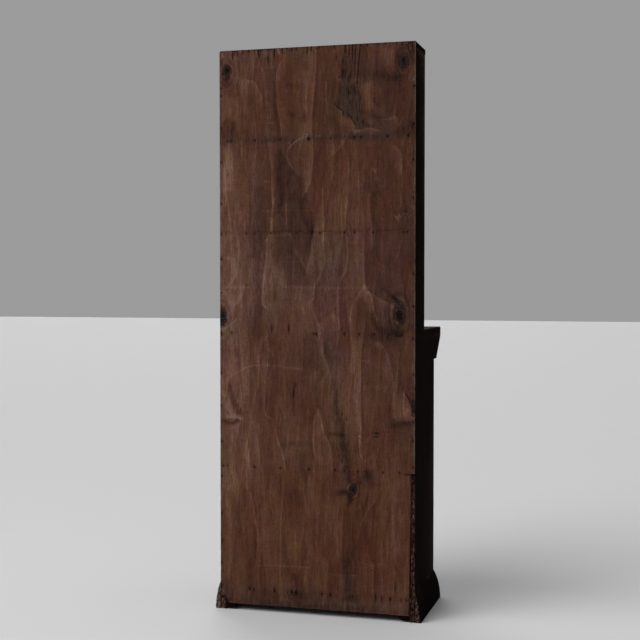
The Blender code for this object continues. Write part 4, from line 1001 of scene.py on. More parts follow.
def nail_spots():
    """Every nail in the rows and up both edges."""
    spots = [(u, v) for v, row in NAIL_ROWS.items() for u in row]
    spots += [(EDGE_NAIL_INSET, v) for v in LEFT_EDGE_NAILS]
    return spots + [(SHEET_WIDE - EDGE_NAIL_INSET, v) for v in RIGHT_EDGE_NAILS]


def peel_mask(spots):
    """1 where the face ply has peeled; its border is torn along the fibres."""
    mask = np.zeros(len(spots))
    loop = flowing([*PEELED, PEELED[0]], 4)
    close = near_line(spots, loop, 12)
    torn = np.stack([2.6 * ripple(spots[close], 5, 26, 3.5), 5.0 * ripple(spots[close], 9, 30, 4.5)], 1)
    soft = PEEL_FADE * fade(spots[close][:, 1], PEEL_FADE_FROM, PEEL_FADE_TO)
    inside = depth_in(spots[close] + torn, [tuple(p) for p in loop[:-1]])
    mask[close] = fade(inside, -0.5 - soft, 0.7 + soft)
    return mask


def sheet_relief(spots):
    """Millimetres below the CAD face."""
    depth = np.full(len(spots), FACE_DEPTH)
    depth += RIPPLE_DEPTH * ripple(spots, 5, 90, 1.5)
    depth += peel_mask(spots) * (PEEL_DEPTH + PEEL_ROUGH * ripple(spots, 3.5, 16, 2.5))
    for centre, radii, dark in KNOTS.values():
        reach = oval_reach(spots, centre, radii)
        spokes = np.cos(KNOT_SPOKES * np.arctan2(*(spots - centre).T) + 3 * reach)
        depth += np.exp(-reach**3) * (0.35 + 0.25 * spokes) * dark
    for spot in nail_spots():
        depth += DIMPLE * bell(np.linalg.norm(spots - spot, axis=1), DIMPLE_REACH)
    side = np.minimum(spots[:, 0], SHEET_WIDE - spots[:, 0])
    for gap, (deep, reach) in ((side, SIDE_RUB), (SHEET_HIGH - spots[:, 1], TOP_RUB)):
        depth += deep * np.exp(-np.clip(gap, 0, None) / reach)
    return np.clip(depth, 0.1, 2.4)


print(len(nail_spots()), "nails in dimples")

# %% [markdown]
# The chart is read with a little warp, so that no stroke looks drawn with a ruler. Round a knot the
# growth rings run as closed loops, pale and dark in turn, and the grain parts to pass it. Dirt has
# gathered in splits and slits and along the rims, and nails have bled a little iron. The side rims also
# get a pale line, partly rubbed wear and partly a painted highlight, and a dark line of painted shadow
# runs along the broken edge.

# %% Marks on the sheet
IRON_RADII = (3.6, 4.8)
SLIT_DIRT = (2.2, 3.0)


def knot_marks(spots, tight, marks):
    """Rings of dark and pale round every knot, and grain that swirls and parts there."""
    gnarl = 0.26 * ripple(spots, 7, 9, 12.0) + 0.22 * ripple(spots, 16, 24, 13.0)
    for centre, radii, dark in KNOTS.values():
        reach = oval_reach(tight, centre, radii) + gnarl
        marks["stain"] += dark * 0.22 * bell(reach, 1.7)
        marks["stain"] += dark * 0.35 * bell(reach - 1.15, 0.13)
        marks["pale"] += 0.10 * dark * bell(reach - 1.45, 0.16)
        marks["pale"] -= 0.12 * dark * bell(reach - 1.90, 0.22)
        marks["swirl"] += 2.2 * dark * bell(reach, 2.6)
        marks["knot"] = np.maximum(marks["knot"], dark * np.clip(1.5 - reach, 0, 1.5) / 1.5)
        aside = spots[:, 0] - centre[0]
        spread = (1.2 * radii[0]) ** 2 * bell(spots[:, 1] - centre[1], 2.0 * radii[1])
        passing = np.sign(aside) * np.sqrt(np.maximum(aside**2 - spread, 0)) - aside
        marks["flow"] += passing
    for centre, radii in KNOT_GAPS:
        marks["knot"] -= 0.35 * bell(oval_reach(tight, centre, radii), 1.0)


def edge_marks(spots, marks):
    """Dirt in splits and slits, rims that are dirty, rubbed pale with a painted highlight or frayed to
    fluff, and painted shadow along the broken edge.
    """
    for mouth, tip, _ in TOP_SPLITS:
        split = np.array([(mouth, SHEET_HIGH), tip], float)
        marks["stain"] += 0.7 * bell(distance_to_line(spots, split), 2.0)
    for centre, across, up in SLITS:
        reach = oval_reach(spots, centre, (across + SLIT_DIRT[0], up + SLIT_DIRT[1]))
        marks["stain"] += 0.6 * bell(reach, 1.0)
    edge = np.clip(np.minimum(spots[:, 0], SHEET_WIDE - spots[:, 0]), 0, None)
    patchy = 0.5 + ripple(spots, 40, 30, 9.0)
    marks["stain"] += 0.35 * bell(edge - 5.0, 3.0) * patchy
    # Partly rubbed wear, partly a painted highlight: a pale line right at the side rims
    marks["pale"] += 0.34 * np.exp(-edge / 1.8) * np.clip(patchy + 0.2, 0, 1)
    marks["weathered"] += 0.8 * np.exp(-edge / 2.5)
    # Painted shadow: a dark line along the broken edge, where the gap beside it lies in shade
    marks["stain"] += 0.75 * bell(distance_to_line(spots, np.array(LOST_EDGE, float)), 1.6)
    rim = np.clip(SHEET_HIGH - spots[:, 1], 0, None)
    marks["stain"] += 0.55 * np.exp(-rim / 2.5) * np.clip(0.7 - patchy, 0, 1)


def sheet_marks(spots):
    """What the finish needs to know at each spot."""
    warp = np.stack([3.0 * ripple(spots, 60, 160, 7.0), 9.0 * ripple(spots, 30, 120, 8.0)], 1)
    loose = spots + warp
    tight = spots + 0.35 * warp
    marks = {
        "pale": ring_lines(tight, RING_EDGES) + 0.6 * brush(tight, DARK_STROKES) + ovals(loose, TONE_AND_LIGHT_PATCHES),
        "weathered": ovals(loose, WEATHERED),
        "stain": ovals(loose, STAINS) + brush(tight, STAIN_STROKES),
        "swirl": np.zeros(len(spots)),
        "knot": np.zeros(len(spots)),
        "peel": peel_mask(spots),
        "flow": np.zeros(len(spots)),
        "iron": np.zeros(len(spots)),
        "warmth": ovals(loose, WARMTH),
    }
    for strength, soft, outline in REGIONS:
        close = near_line(tight, np.array(outline, float), 2 * soft)
        marks["pale"][close] += 0.7 * strength * fade(depth_in(tight[close], outline), -soft, soft)
    marks["pale"] += 0.6 * brush(spots, SCRATCHES)
    knot_marks(spots, tight, marks)
    edge_marks(spots, marks)
    for spot in nail_spots():
        marks["iron"] = np.maximum(marks["iron"], bell(oval_reach(spots, spot, IRON_RADII), 1.0))
    for name in ("weathered", "stain"):
        marks[name] = np.clip(marks[name], 0, 1)
    marks["flow"] *= MM
    return marks


print("marks ready")

# %% [markdown]
# Now the board is built at its place. The chart's millimetres become metres, seen from behind, so that
# across runs against X. The marks are stored on the mesh as attributes, which a finish can read like a
# picture.

# %% The worn sheet
PIT_DEPTH = 3.6
SHEET_SHARP = math.radians(40)


def face_place(spots):
    """Where the face's points go: below the CAD face by the relief."""
    depth = sheet_relief(spots) * MM
    return [(SHEET_LEFT - u * MM, SHEET_FACE - d, v * MM) for (u, v), d in zip(spots, depth)]


def at_depth(y):
    """A function that lays points in one flat plane."""
    return lambda spots: [(SHEET_LEFT - u * MM, y, v * MM) for u, v in spots]


places = (face_place, at_depth(SHEET_INNER), at_depth(SHEET_FACE - PIT_DEPTH * MM))
sheet_mesh, face_spots = closed_board("back_sheet_worn", SHEET_OUTLINE, SHEET_HOLES, SHEET_SPOTS, *places)
for name, values in sheet_marks(face_spots).items():
    store(sheet_mesh, name, values)
sheet_mesh.shade_smooth()
sheet_mesh.set_sharp_from_angle(angle=SHEET_SHARP)
print("back sheet:", len(sheet_mesh.vertices), "points,", len(sheet_mesh.polygons), "faces")

# %% [markdown]
# ## The sheet's finish
#
# Softwood seen close is streaks on streaks: rings as bands, fibres as fine lines, and dark pores. The
# bands come from a slow noise that is stretched along the grain and cut into steps, and it is raised near
# knots so that the rings run round them. The charted marks shift the same tone up or down before one ramp
# turns tone into colour, so pale lines and dark flames keep the wood's own hue.

# %% Tones of the sheet
WOOD_TONES = [
    (0.00, (0.0110, 0.0057, 0.0044)), (0.20, (0.0335, 0.0148, 0.0100)), (0.50, (0.0660, 0.0277, 0.0174)),
    (0.75, (0.1010, 0.0480, 0.0310)), (1.00, (0.1680, 0.0950, 0.0680)),
]
WEATHERED_TONES = [
    (0.00, (0.0110, 0.0070, 0.0062)), (0.50, (0.0600, 0.0335, 0.0250)), (1.00, (0.1500, 0.0980, 0.0800)),
]
TORN_TONES = [
    (0.22, (0.0100, 0.0055, 0.0045)), (0.46, (0.0375, 0.0205, 0.0155)), (0.78, (0.0660, 0.0370, 0.0280)),
]
HEART_TONES = [
    (0.0, (0.0085, 0.0052, 0.0050)), (0.4, (0.0210, 0.0125, 0.0108)), (0.9, (0.0520, 0.0320, 0.0265)),
]
HEART_CORE = (0.0048, 0.0031, 0.0031)
# Colour of dirt, also used for the painted shadow along the broken edge
STAIN_AND_SHADE_COLOUR = (0.0105, 0.0060, 0.0054)
PORE_COLOUR = (0.012, 0.0075, 0.0065)
IRON_COLOUR = (0.0036, 0.0022, 0.0021)
# Each of these multiplies the wood's colour: two drifts that noise chooses, and the charted warm parts
NO_TINT = (1.0, 1.0, 1.0)
WARM_DRIFT = [(0.34, (1.00, 0.885, 0.91)), (0.50, NO_TINT), (0.66, (0.96, 1.065, 0.955))]
BLUE_DRIFT = [(0.34, (1.00, 1.00, 0.85)), (0.50, NO_TINT), (0.66, (1.00, 1.00, 1.15))]
WARMTH_TINTS = [(0.0, (0.98, 1.045, 1.21)), (0.5, NO_TINT), (1.0, (1.01, 0.95, 0.87))]
# Through one growth ring, from its crisp edge to the next: how pale it is
RING_STEPS = [(0.00, 0.95), (0.07, 0.70), (0.30, 0.55), (0.80, 0.36), (0.96, 0.22), (1.00, 0.95)]
KNOT_RING_STEPS = [(0.0, 0.9), (0.35, 0.45), (0.85, 0.1), (1.0, 0.9)]
# name: ((stretch, detail, roughness) of a noise, how far it swings the tone)
FACE_GRAIN = {
    "fibre": (((230, 230, 17), 3.0, 0.6), 0.46),
    "fine": (((700, 700, 90), 2.0, 0.6), 0.24),
    "grit": (((330, 330, 200), 3.0, 0.7), 0.44),
    "mottle": (((75, 75, 38), 3.0, 0.65), 0.34),
    "coarse": (((46, 46, 6.0), 4.0, 0.62), 0.50),
    "cloud": (((9, 9, 4.5), 5.0, 0.65), 0.60),
    "chatter": (((14, 14, 380), 2.0, 0.6), 0.16),
}
OLD_WOOD_IOR = 1.15
FACE_IOR = 1.05
print(len(FACE_GRAIN), "sizes of grain,", len(WOOD_TONES), "tones of wood")

# %% [markdown]
# The face is built up as the real one came to be: rings, fibres and the charted marks give the tone, age
# shifts its hue, then come weathering, the torn patch, dirt and a painted shadow along the broken edge,
# pores, the nails' iron and last the knots. Some broad charted patches in the tone are painted light,
# paler on the left. Each layer is mixed over the one below with a charted mask that noise has roughened,
# because a clean mask looks like paint.

# %% Finish of the sheet's face
def face_tone(finish, grain):
    """How pale the wood looks: growth rings, flames, every size of grain and the charted marks, some
    painted light among them.
    """
    slow = finish.noise((7.0, 7.0, 0.9), 2.0, 0.5, 0.4)
    drift = finish.noise((3.0, 3.0, 1.1), 3.0, 0.5)
    across = finish.times(finish.axis("X"), 21.0)
    swirl = finish.attribute("swirl")
    year = finish.add(across, finish.times(slow, 3.5), finish.times(drift, 5.0), swirl)
    rings = finish.bands(year, RING_STEPS)
    flames = finish.bands(finish.times(slow, 12.0), RING_STEPS)
    swings = [(grain[name], swing) for name, (_, swing) in FACE_GRAIN.items()]
    base = finish.add(0.535, finish.attribute("pale"))
    return finish.swung(base, (rings, 0.16), (flames, 0.14), *swings)


def aged_hue(finish, wood):
    """Drifts of hue over the wood's own colour."""
    hue = finish.noise((10, 10, 5), 5.0, 0.7)
    blue = finish.noise((34, 34, 20), 3.0, 0.65)
    warmth = finish.add(0.5, finish.times(finish.attribute("warmth"), 0.5))
    for value, tints in ((hue, WARM_DRIFT), (blue, BLUE_DRIFT), (warmth, WARMTH_TINTS)):
        wood = finish.mix(1.0, wood, finish.colours(value, tints), "MULTIPLY")
    return wood


def knot_heart(finish, knot, grain):
    """Close dark rings, and a nearly black core with a lumpy rim."""
    years = finish.add(finish.times(knot, 4.5), finish.times(grain["coarse"], 1.5))
    growth = finish.bands(years, KNOT_RING_STEPS)
    tone = finish.swung(finish.add(0.10, finish.times(growth, 0.7)), (grain["grit"], 1.3))
    lumps = finish.noise((150, 150, 100), 3.0, 0.7)
    rim = finish.swung(knot, (lumps, 1.5), (grain["grit"], 1.1))
    core = finish.times(finish.between(rim, 0.58, 0.84), 0.85)
    return finish.mix(core, finish.colours(tone, HEART_TONES), HEART_CORE)


def sheet_face_finish():
    """All layers of the face, from the bottom up."""
    finish = Finish("sheet_face", 3)
    finish.bend(finish.attribute("flow"), (5.0, 5.0, 4.0), 0.030)
    grain = {name: finish.noise(*sizes) for name, (sizes, _) in FACE_GRAIN.items()}
    fibre, grit, mottle = grain["fibre"], grain["grit"], grain["mottle"]
    peel, stain, knot = (finish.attribute(name) for name in ("peel", "stain", "knot"))
    tone = face_tone(finish, grain)
    wood = aged_hue(finish, finish.colours(tone, WOOD_TONES))
    patchy = finish.times(finish.attribute("weathered"), finish.between(mottle, 0.35, 0.62, 0.35, 1.3))
    colour = finish.mix(patchy, wood, finish.colours(tone, WEATHERED_TONES))
    torn = finish.noise((330, 330, 40), 3.0, 0.7)
    torn_tone = finish.swung(torn, (fibre, 0.4), (mottle, 0.5))
    colour = finish.mix(peel, colour, finish.colours(torn_tone, TORN_TONES))
    uneven = finish.between(finish.swung(fibre, (mottle, 1.0)), 0.3, 0.7, 1.15, 0.70)
    # The stain mask also carries the painted shadow along the broken edge
    colour = finish.mix(finish.times(stain, uneven), colour, STAIN_AND_SHADE_COLOUR)
    pores = finish.add(finish.noise((300, 300, 85), 2.0, 0.6), finish.times(stain, 0.16))
    colour = finish.mix(finish.times(finish.between(pores, 0.62, 0.69), 0.7), colour, PORE_COLOUR)
    colour = finish.mix(finish.times(finish.attribute("iron"), 0.92), colour, IRON_COLOUR)
    knotty = finish.between(finish.swung(knot, (grit, 0.25)), 0.16, 0.36)
    colour = finish.mix(knotty, colour, knot_heart(finish, knot, grain))
    dullness = finish.add(finish.swung(0.62, (fibre, 0.30)), finish.times(peel, 0.15))
    finish.set(Base_Color=colour, IOR=FACE_IOR, Roughness=dullness)
    torn_relief = finish.times(finish.times(torn, peel), 1.2)
    finish.bump(finish.add(finish.times(fibre, 0.5), finish.times(grit, 0.4), torn_relief), 0.5, 0.0006)
    return finish.material


sheet_mesh.materials.append(sheet_face_finish())
print("face finished with", len(sheet_mesh.materials[0].node_tree.nodes), "nodes")

# %% [markdown]
# Where the sheet is cut, its plies show: two pale faces with a darker middle, whose grain runs the other
# way. Its inner face was never charted, since nobody sees much of it, so plain rings and fibres do.

# %% Finish of the sheet's edges and inside
CORE_HALF = (0.0007, 0.0010)


def sheet_edge_finish():
    """Three plies: the middle one shows its end grain and is darker."""
    finish = Finish("sheet_edge", 4)
    middle = (SHEET_FACE + SHEET_INNER) / 2
    from_middle = finish.math("ABSOLUTE", finish.math("SUBTRACT", finish.axis("Y"), middle))
    core = finish.between(from_middle, *CORE_HALF)
    grain = finish.noise((400, 900, 400), 3.0, 0.6)
    tone = finish.swung(finish.add(0.22, finish.times(core, 0.14)), (grain, 0.5))
    finish.set(Base_Color=finish.colours(tone, WOOD_TONES), Roughness=0.85, Specular_IOR_Level=0.2)
    finish.bump(grain, 0.6, 0.0004)
    return finish.material


def sheet_inside_finish():
    """Old bare wood with long rings and two sizes of fibre."""
    finish = Finish("sheet_inside", 5)
    slow = finish.noise((8.0, 8.0, 0.75), 2.0, 0.5, 0.4)
    rings = finish.bands(finish.times(slow, 7.0), RING_STEPS)
    fibre = finish.noise((230, 230, 4.5), 3.0, 0.6)
    fine = finish.noise((900, 900, 16), 2.0, 0.6)
    cloud = finish.noise((4, 4, 1.6), 3.0, 0.6)
    tone = finish.swung(0.56, (rings, 0.24), (fibre, 0.30), (fine, 0.14), (cloud, 0.30))
    finish.set(Base_Color=finish.colours(tone, WOOD_TONES), IOR=OLD_WOOD_IOR)
    finish.set(Roughness=finish.swung(0.62, (fibre, 0.15)))
    finish.bump(finish.add(fibre, finish.times(fine, 0.5)), 0.4, 0.0005)
    return finish.material


for material in (sheet_edge_finish(), sheet_inside_finish()):
    sheet_mesh.materials.append(material)
add_piece("back_sheet_worn", sheet_mesh, "case", "back_sheet", "back_sheet")
print("back sheet finished in", [m.name for m in sheet_mesh.materials])

# %% [markdown]
# ## Case finish
#
# The outside is stained almost black over a close-grained softwood, rubbed through to brown along the
# arrises. That near-black is partly the stain and partly painted shade, as dark as the cabinet's unlit
# flank; pieces that hands touch are lifted a little lighter. Worn edges could be painted by hand, but the
# Bevel node already knows where an edge is: it bends the normal there, and the angle between the bent and
# the true normal makes the mask. Each board gets its own copy with its own offset, so the grain never runs
# on from one board to the next.

# %% Stained and bare wood
# The stain's tones, darkened further as painted shade to match the unlit flank
STAIN_AND_SHADE_TONES = [
    (0.00, (0.0022, 0.0016, 0.0014)), (0.45, (0.0054, 0.0037, 0.0029)), (0.75, (0.0140, 0.0090, 0.0064)),
    (1.00, (0.0420, 0.0250, 0.0170)),
]
# Kept pieces, the flank among them, stay at the painted-shade darkness; handled pieces are lifted
# (how much lighter, index of refraction, how bare the rubbed edges are)
STAIN_KEPT = (0.0, 1.012, 0.70)
STAIN_HANDLED = (0.17, 1.10, 0.95)
BARE_TONES = [
    (0.00, (0.0150, 0.0090, 0.0065)), (0.40, (0.0620, 0.0330, 0.0215)), (0.70, (0.1150, 0.0640, 0.0420)),
    (1.00, (0.1900, 0.1200, 0.0850)),
]
WEAR_COLOUR = (0.060, 0.032, 0.021)
GRIME_COLOUR = (0.020, 0.013, 0.010)


def along_grain(axis, across, along):
    """A noise's stretch for a board whose grain runs along an axis."""
    return tuple(along if letter == axis else across for letter in "XYZ")


def board_grain(finish, axis, wave, ring_count, strand, cloud):
    """Rings, fibres and clouds for a board; the first two are stretched along its grain."""
    slow = finish.noise(along_grain(axis, *wave), 2.0, 0.5, 0.5)
    rings = finish.bands(finish.times(slow, ring_count), RING_STEPS)
    return rings, finish.noise(along_grain(axis, *strand), 3.0, 0.6), finish.noise(*cloud)


def edge_mask(finish, radius):
    """1 near an edge and 0 on the flat, from the Bevel node."""
    bent = finish.node("ShaderNodeBevel", {"Radius": radius}, samples=4).outputs[0]
    true = finish.node("ShaderNodeNewGeometry").outputs["True Normal"]
    product = finish.node("ShaderNodeVectorMath", {0: bent, 1: true}, operation="DOT_PRODUCT")
    return finish.between(product.outputs["Value"], 0.86, 0.995, 1.0, 0.0)


def stained_tree(name, axis, seed, handled=False):
    """Dark stain over softwood, darkened further as painted shade; where hands go it is thinner, glossier
    and more rubbed.
    """
    lighter, ior, rub = STAIN_HANDLED if handled else STAIN_KEPT
    finish = Finish(name, seed)
    rings, fibre, cloud = board_grain(finish, axis, (22, 1.3), 8.0, (420, 9), ((7, 7, 7), 4.0, 0.6))
    tone = finish.swung(0.42 + lighter, (rings, 0.22), (fibre, 0.50), (cloud, 0.60))
    colour = finish.colours(tone, STAIN_AND_SHADE_TONES)
    rubbed = finish.times(edge_mask(finish, 0.0022), finish.between(cloud, 0.38, 0.62))
    colour = finish.mix(finish.times(rubbed, rub), colour, WEAR_COLOUR)
    scuffs = finish.between(finish.noise((26, 26, 60), 5.0, 0.75), 0.66, 0.74)
    finish.base_colour = finish.mix(finish.times(scuffs, 0.25), colour, WEAR_COLOUR)
    finish.set(Base_Color=finish.base_colour, IOR=ior)
    finish.set(Roughness=finish.swung(0.55, (fibre, 0.20), (cloud, 0.24)))
    finish.bump(finish.add(fibre, finish.times(rings, 0.4)), 0.35, 0.0005)
    return finish


def knob_wood(name, seed):
    """Turned wood that fingers have rubbed back to brown."""
    finish = stained_tree(name, "Y", seed, True)
    rub = finish.between(finish.noise((60, 60, 60), 3.0, 0.6), 0.30, 0.62, 0.25, 0.85)
    finish.set(Base_Color=finish.mix(rub, finish.base_colour, WEAR_COLOUR))
    return finish.material


def bare(name, axis, seed):
    """Wood that was never stained, greyed by dust and hands."""
    finish = Finish(name, seed)
    rings, fibre, cloud = board_grain(finish, axis, (16, 1.1), 7.0, (380, 8), ((6, 6, 6), 4.0, 0.65))
    tone = finish.swung(0.46, (rings, 0.26), (fibre, 0.30), (cloud, 0.50))
    colour = finish.colours(tone, BARE_TONES)
    grime = finish.times(finish.between(cloud, 0.52, 0.70), 0.45)
    colour = finish.mix(grime, colour, GRIME_COLOUR)
    finish.set(Base_Color=colour, IOR=OLD_WOOD_IOR)
    finish.set(Roughness=finish.swung(0.72, (fibre, 0.16)))
    finish.bump(finish.add(fibre, finish.times(rings, 0.3)), 0.4, 0.0005)
    return finish.material


print("wood finishes ready")

# %% [markdown]
# ## Brass
#
# Old brass is brown where hands don't reach and yellow where they do. A noise chooses between the two,
# and the Bevel mask polishes the edges.

# %% Brass
BRASS_TONES = [
    (0.30, (0.045, 0.030, 0.018)), (0.52, (0.130, 0.085, 0.038)), (0.75, (0.300, 0.200, 0.085)),
]
POLISHED_BRASS = (0.42, 0.29, 0.13)


def old_brass(name, seed):
    """Brown, dull brass with polished edges."""
    finish = Finish(name, seed)
    cloud = finish.noise((180, 180, 180), 4.0, 0.65)
    specks = finish.noise((900, 900, 900), 2.0, 0.5)
    colour = finish.colours(finish.swung(cloud, (specks, 0.25)), BRASS_TONES)
    polished = finish.times(edge_mask(finish, 0.0006), 0.7)
    colour = finish.mix(polished, colour, POLISHED_BRASS)
    finish.set(Base_Color=colour, Metallic=1.0)
    finish.set(Roughness=finish.between(cloud, 0.3, 0.7, 0.60, 0.36))
    finish.bump(specks, 0.3, 0.0002)
    return finish.material


print("brass ready")

# %% [markdown]
# ## Worn feet and edges
#
# At the back the mouldings end as bare end grain, eaten by worms and frayed by damp floors, and the edge
# of the side board shows where the sheet broke away. Sculpting by hand would do it once; here the CAD
# shape is copied, cut into small cells near the worn places, and each point is moved by a rule. Cuts only
# divide faces, so the shape stays closed. A stored number says how worn each point is, and the finish
# turns it into bare grey wood.

# %% Worn copies of CAD pieces
AXES = {"X": Vector((1, 0, 0)), "Y": Vector((0, 1, 0)), "Z": Vector((0, 0, 1))}
MERGE = 1e-6
WORN_SHARP = math.radians(38)
END_TONES = [
    (0.16, (0.0060, 0.0045, 0.0040)), (0.40, (0.0300, 0.0190, 0.0150)), (0.60, (0.0800, 0.0560, 0.0470)),
    (0.84, (0.2400, 0.1900, 0.1650)),
]


def worn_finish(name, axis, seed, look):
    """Dark stain that gives way to bare end grain where the piece is worn."""
    tint, run, light = look
    finish = stained_tree(name, axis, seed)
    streak = finish.noise((420, 420, run), 4.0, 0.7)
    grit = finish.noise((700, 700, 420), 3.0, 0.7)
    blotch = finish.noise((190, 190, 85), 3.0, 0.65)
    tone = finish.swung(light, (streak, 1.3), (grit, 1.1), (blotch, 1.2))
    ragged = finish.swung(finish.attribute("worn"), (grit, 0.5))
    bare_colour = finish.mix(1.0, finish.colours(tone, END_TONES), tint, "MULTIPLY")
    colour = finish.mix(finish.between(ragged, 0.35, 0.65), finish.base_colour, bare_colour)
    finish.set(Base_Color=colour)
    finish.bump(finish.add(streak, grit), 0.7, 0.0006)
    return finish.material


def worn_copy(node, cuts, wear, axis, seed, look):
    """Stands in for a CAD piece: cut along planes across each axis, then moved point by point."""
    shape = bmesh.new()
    shape.from_mesh(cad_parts[node].data)
    bmesh.ops.remove_doubles(shape, verts=shape.verts, dist=MERGE)
    for letter, places in cuts:
        for place in places:
            everything = [*shape.verts, *shape.edges, *shape.faces]
            plane = {"plane_co": AXES[letter] * place, "plane_no": AXES[letter]}
            bmesh.ops.bisect_plane(shape, geom=everything, dist=MERGE, **plane)
    layer = shape.verts.layers.float.new("worn")
    for vertex in shape.verts:
        move, worn = wear(vertex.co)
        vertex.co += move
        vertex[layer] = worn
    mesh = bpy.data.meshes.new(f"{node}_worn")
    shape.to_mesh(mesh)
    shape.free()
    mesh.shade_smooth()
    mesh.set_sharp_from_angle(angle=WORN_SHARP)
    mesh.materials.append(worn_finish(f"{node}_worn_finish", axis, seed, look))
    print(f"{node}: {len(mesh.vertices)} points")
    add_piece(f"{node}_worn", mesh, "case", "dark_stain", node)


def rough(x, y, z, wave):
    """Noise between about -1 and 1 with waves of the given sizes."""
    return noise.noise((x / wave[0], y / wave[1], z / wave[2]))


def steps(low, high, step):
    """Places to cut at, evenly between two limits."""
    return [low + step * (i + 0.5) for i in range(int((high - low) / step))]


def foot_lift(co, seed, most):
    """How far the underside has risen from a damp floor; it fades out upwards."""
    return max(0.0, rough(co.x, seed, 0, (0.006, 1, 1)) + 0.1) * most * math.exp(-co.z / 0.004)


print("wear tools ready")

# %% [markdown]
# The moulding's ends face the camera on both sides. Worm holes are pits a millimetre across, scattered
# with a fixed seed. The outer edge loses a little, and the underside lifts from the floor here and there.

# %% Worn ends of the plinth moulding
# (tint, how short the streaks are, how light)
PLINTH_LOOKS = {"left": ((0.82, 0.73, 0.70), 170, 0.46), "right": ((1.00, 0.98, 0.98), 30, 0.53)}
WORM_COUNT = 40
WORM_RADIUS = 0.0011
WORM_DEEP = 0.0035
WORM_ZONE = (0.018, 0.004, 0.085)
FRAY = 0.006
LIP_REACH = 0.003
JOINT_WIDTH = 0.0016
JOINT_DEEP = 0.0022
CELL = 0.0012
END_CUTS = (0.0008, 0.002, 0.0036, 0.0055, 0.008, 0.011, 0.015, 0.02)


def plinth_wear(node, hand, seed, dirty_from):
    """The rule for one moulding: its end frays, with worm holes, and its upper lip has small nicks."""
    low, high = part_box(node)
    back = high.y
    inner = min(abs(low.x), abs(high.x))
    ends = [v.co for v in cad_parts[node].data.vertices if v.co.y > back - MERGE]
    levels = sorted({round(co.z, 5) for co in ends})
    outer = [max(abs(co.x) for co in ends if round(co.z, 5) == level) for level in levels]
    chance = random.Random(seed)
    wide, lowest, highest = WORM_ZONE
    worms = []
    for _ in range(WORM_COUNT):
        worms.append((chance.uniform(inner, inner + wide), chance.uniform(lowest, highest)))

    def wear(co):
        inward = back - co.y
        if inward > 4 * FRAY:
            nick = max(0.0, rough(co.x, co.y, seed, (1, 0.03, 1)) - 0.25) * 0.0018
            lip = bell(high.z - co.z, LIP_REACH)
            return Vector((0, 0, -nick * lip)), lip * min(1.0, nick / 0.0004)
        near = bell(inward, FRAY)
        edge = np.interp(co.z, levels, outer)
        aside = abs(co.x) - inner
        reach = aside / max(edge - inner, 1e-4)
        bite = max(0.0, 0.5 + rough(0, seed, co.z, (1, 1, 0.007))) * 0.0016
        fray = 0.0005 + 0.0006 * rough(co.x, seed, co.z, (0.0022, 1, 0.03))
        fray += 0.0014 * math.exp(-(edge - abs(co.x)) / 0.0016) + 0.0008 * math.exp(-aside / 0.0012)
        if inward < MERGE:
            for x, z in worms:
                away = math.hypot(abs(co.x) - x, co.z - z)
                fray += WORM_DEEP * math.exp(-(away / WORM_RADIUS) ** 4)
        joint = bell(aside, JOINT_WIDTH)
        fray += JOINT_DEEP * joint
        move = Vector((-hand * bite * reach * near, -fray * near, foot_lift(co, seed, 0.004) * near))
        dirty = float(fade(reach, dirty_from, dirty_from + 0.12))
        return move, near * (1 - joint) * (1 - dirty)
    return wear


for hand, word, seed, dirty_from in ((-1, "left", 31, 0.72), (1, "right", 47, 1.5)):
    node = f"plinth_{word}"
    low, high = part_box(node)
    across = steps(low.x, high.x, CELL)
    up = [*steps(0, high.z, CELL), high.z - 0.0003]
    deep = [high.y - d for d in END_CUTS] + steps(low.y + 0.04, high.y - 0.03, 0.012)
    cuts = (("Z", up), ("X", across), ("Y", deep))
    worn_copy(node, cuts, plinth_wear(node, hand, seed, dirty_from), "Y", seed, PLINTH_LOOKS[word])

# %% [markdown]
# The side boards are worn on the outer corner all the way up. On the cabinet's left side the sheet's lost
# strip bares the board's back edge, which is dented and rubbed, with a dark line of painted shadow along
# the gap where the sheet once lay.

# %% Worn edges of the side boards
BOARD_LOOKS = {"left": ((0.70, 0.50, 0.44), 26, 0.45), "right": ((0.86, 0.68, 0.62), 60, 0.45)}
BARE_BELOW = {"left": 0.477, "right": 0.100}
DENTS = ((0.447, 0.006), (0.352, 0.005), (0.318, 0.004), (0.262, 0.006), (0.204, 0.004), (0.168, 0.005),
         (0.121, 0.006), (0.078, 0.005), (0.040, 0.005), (0.398, 0.003), (0.231, 0.003))
DENT_DEEP = 0.0022
WORN_DEPTH = 0.02
GAP_INSET = 0.0152
ACROSS_CUTS = (0.0006, 0.0014, 0.003, 0.005, 0.007, 0.009, 0.011, 0.013, 0.0155)
DEPTH_CUTS = (0.0008, 0.002, 0.004, 0.007, 0.011)


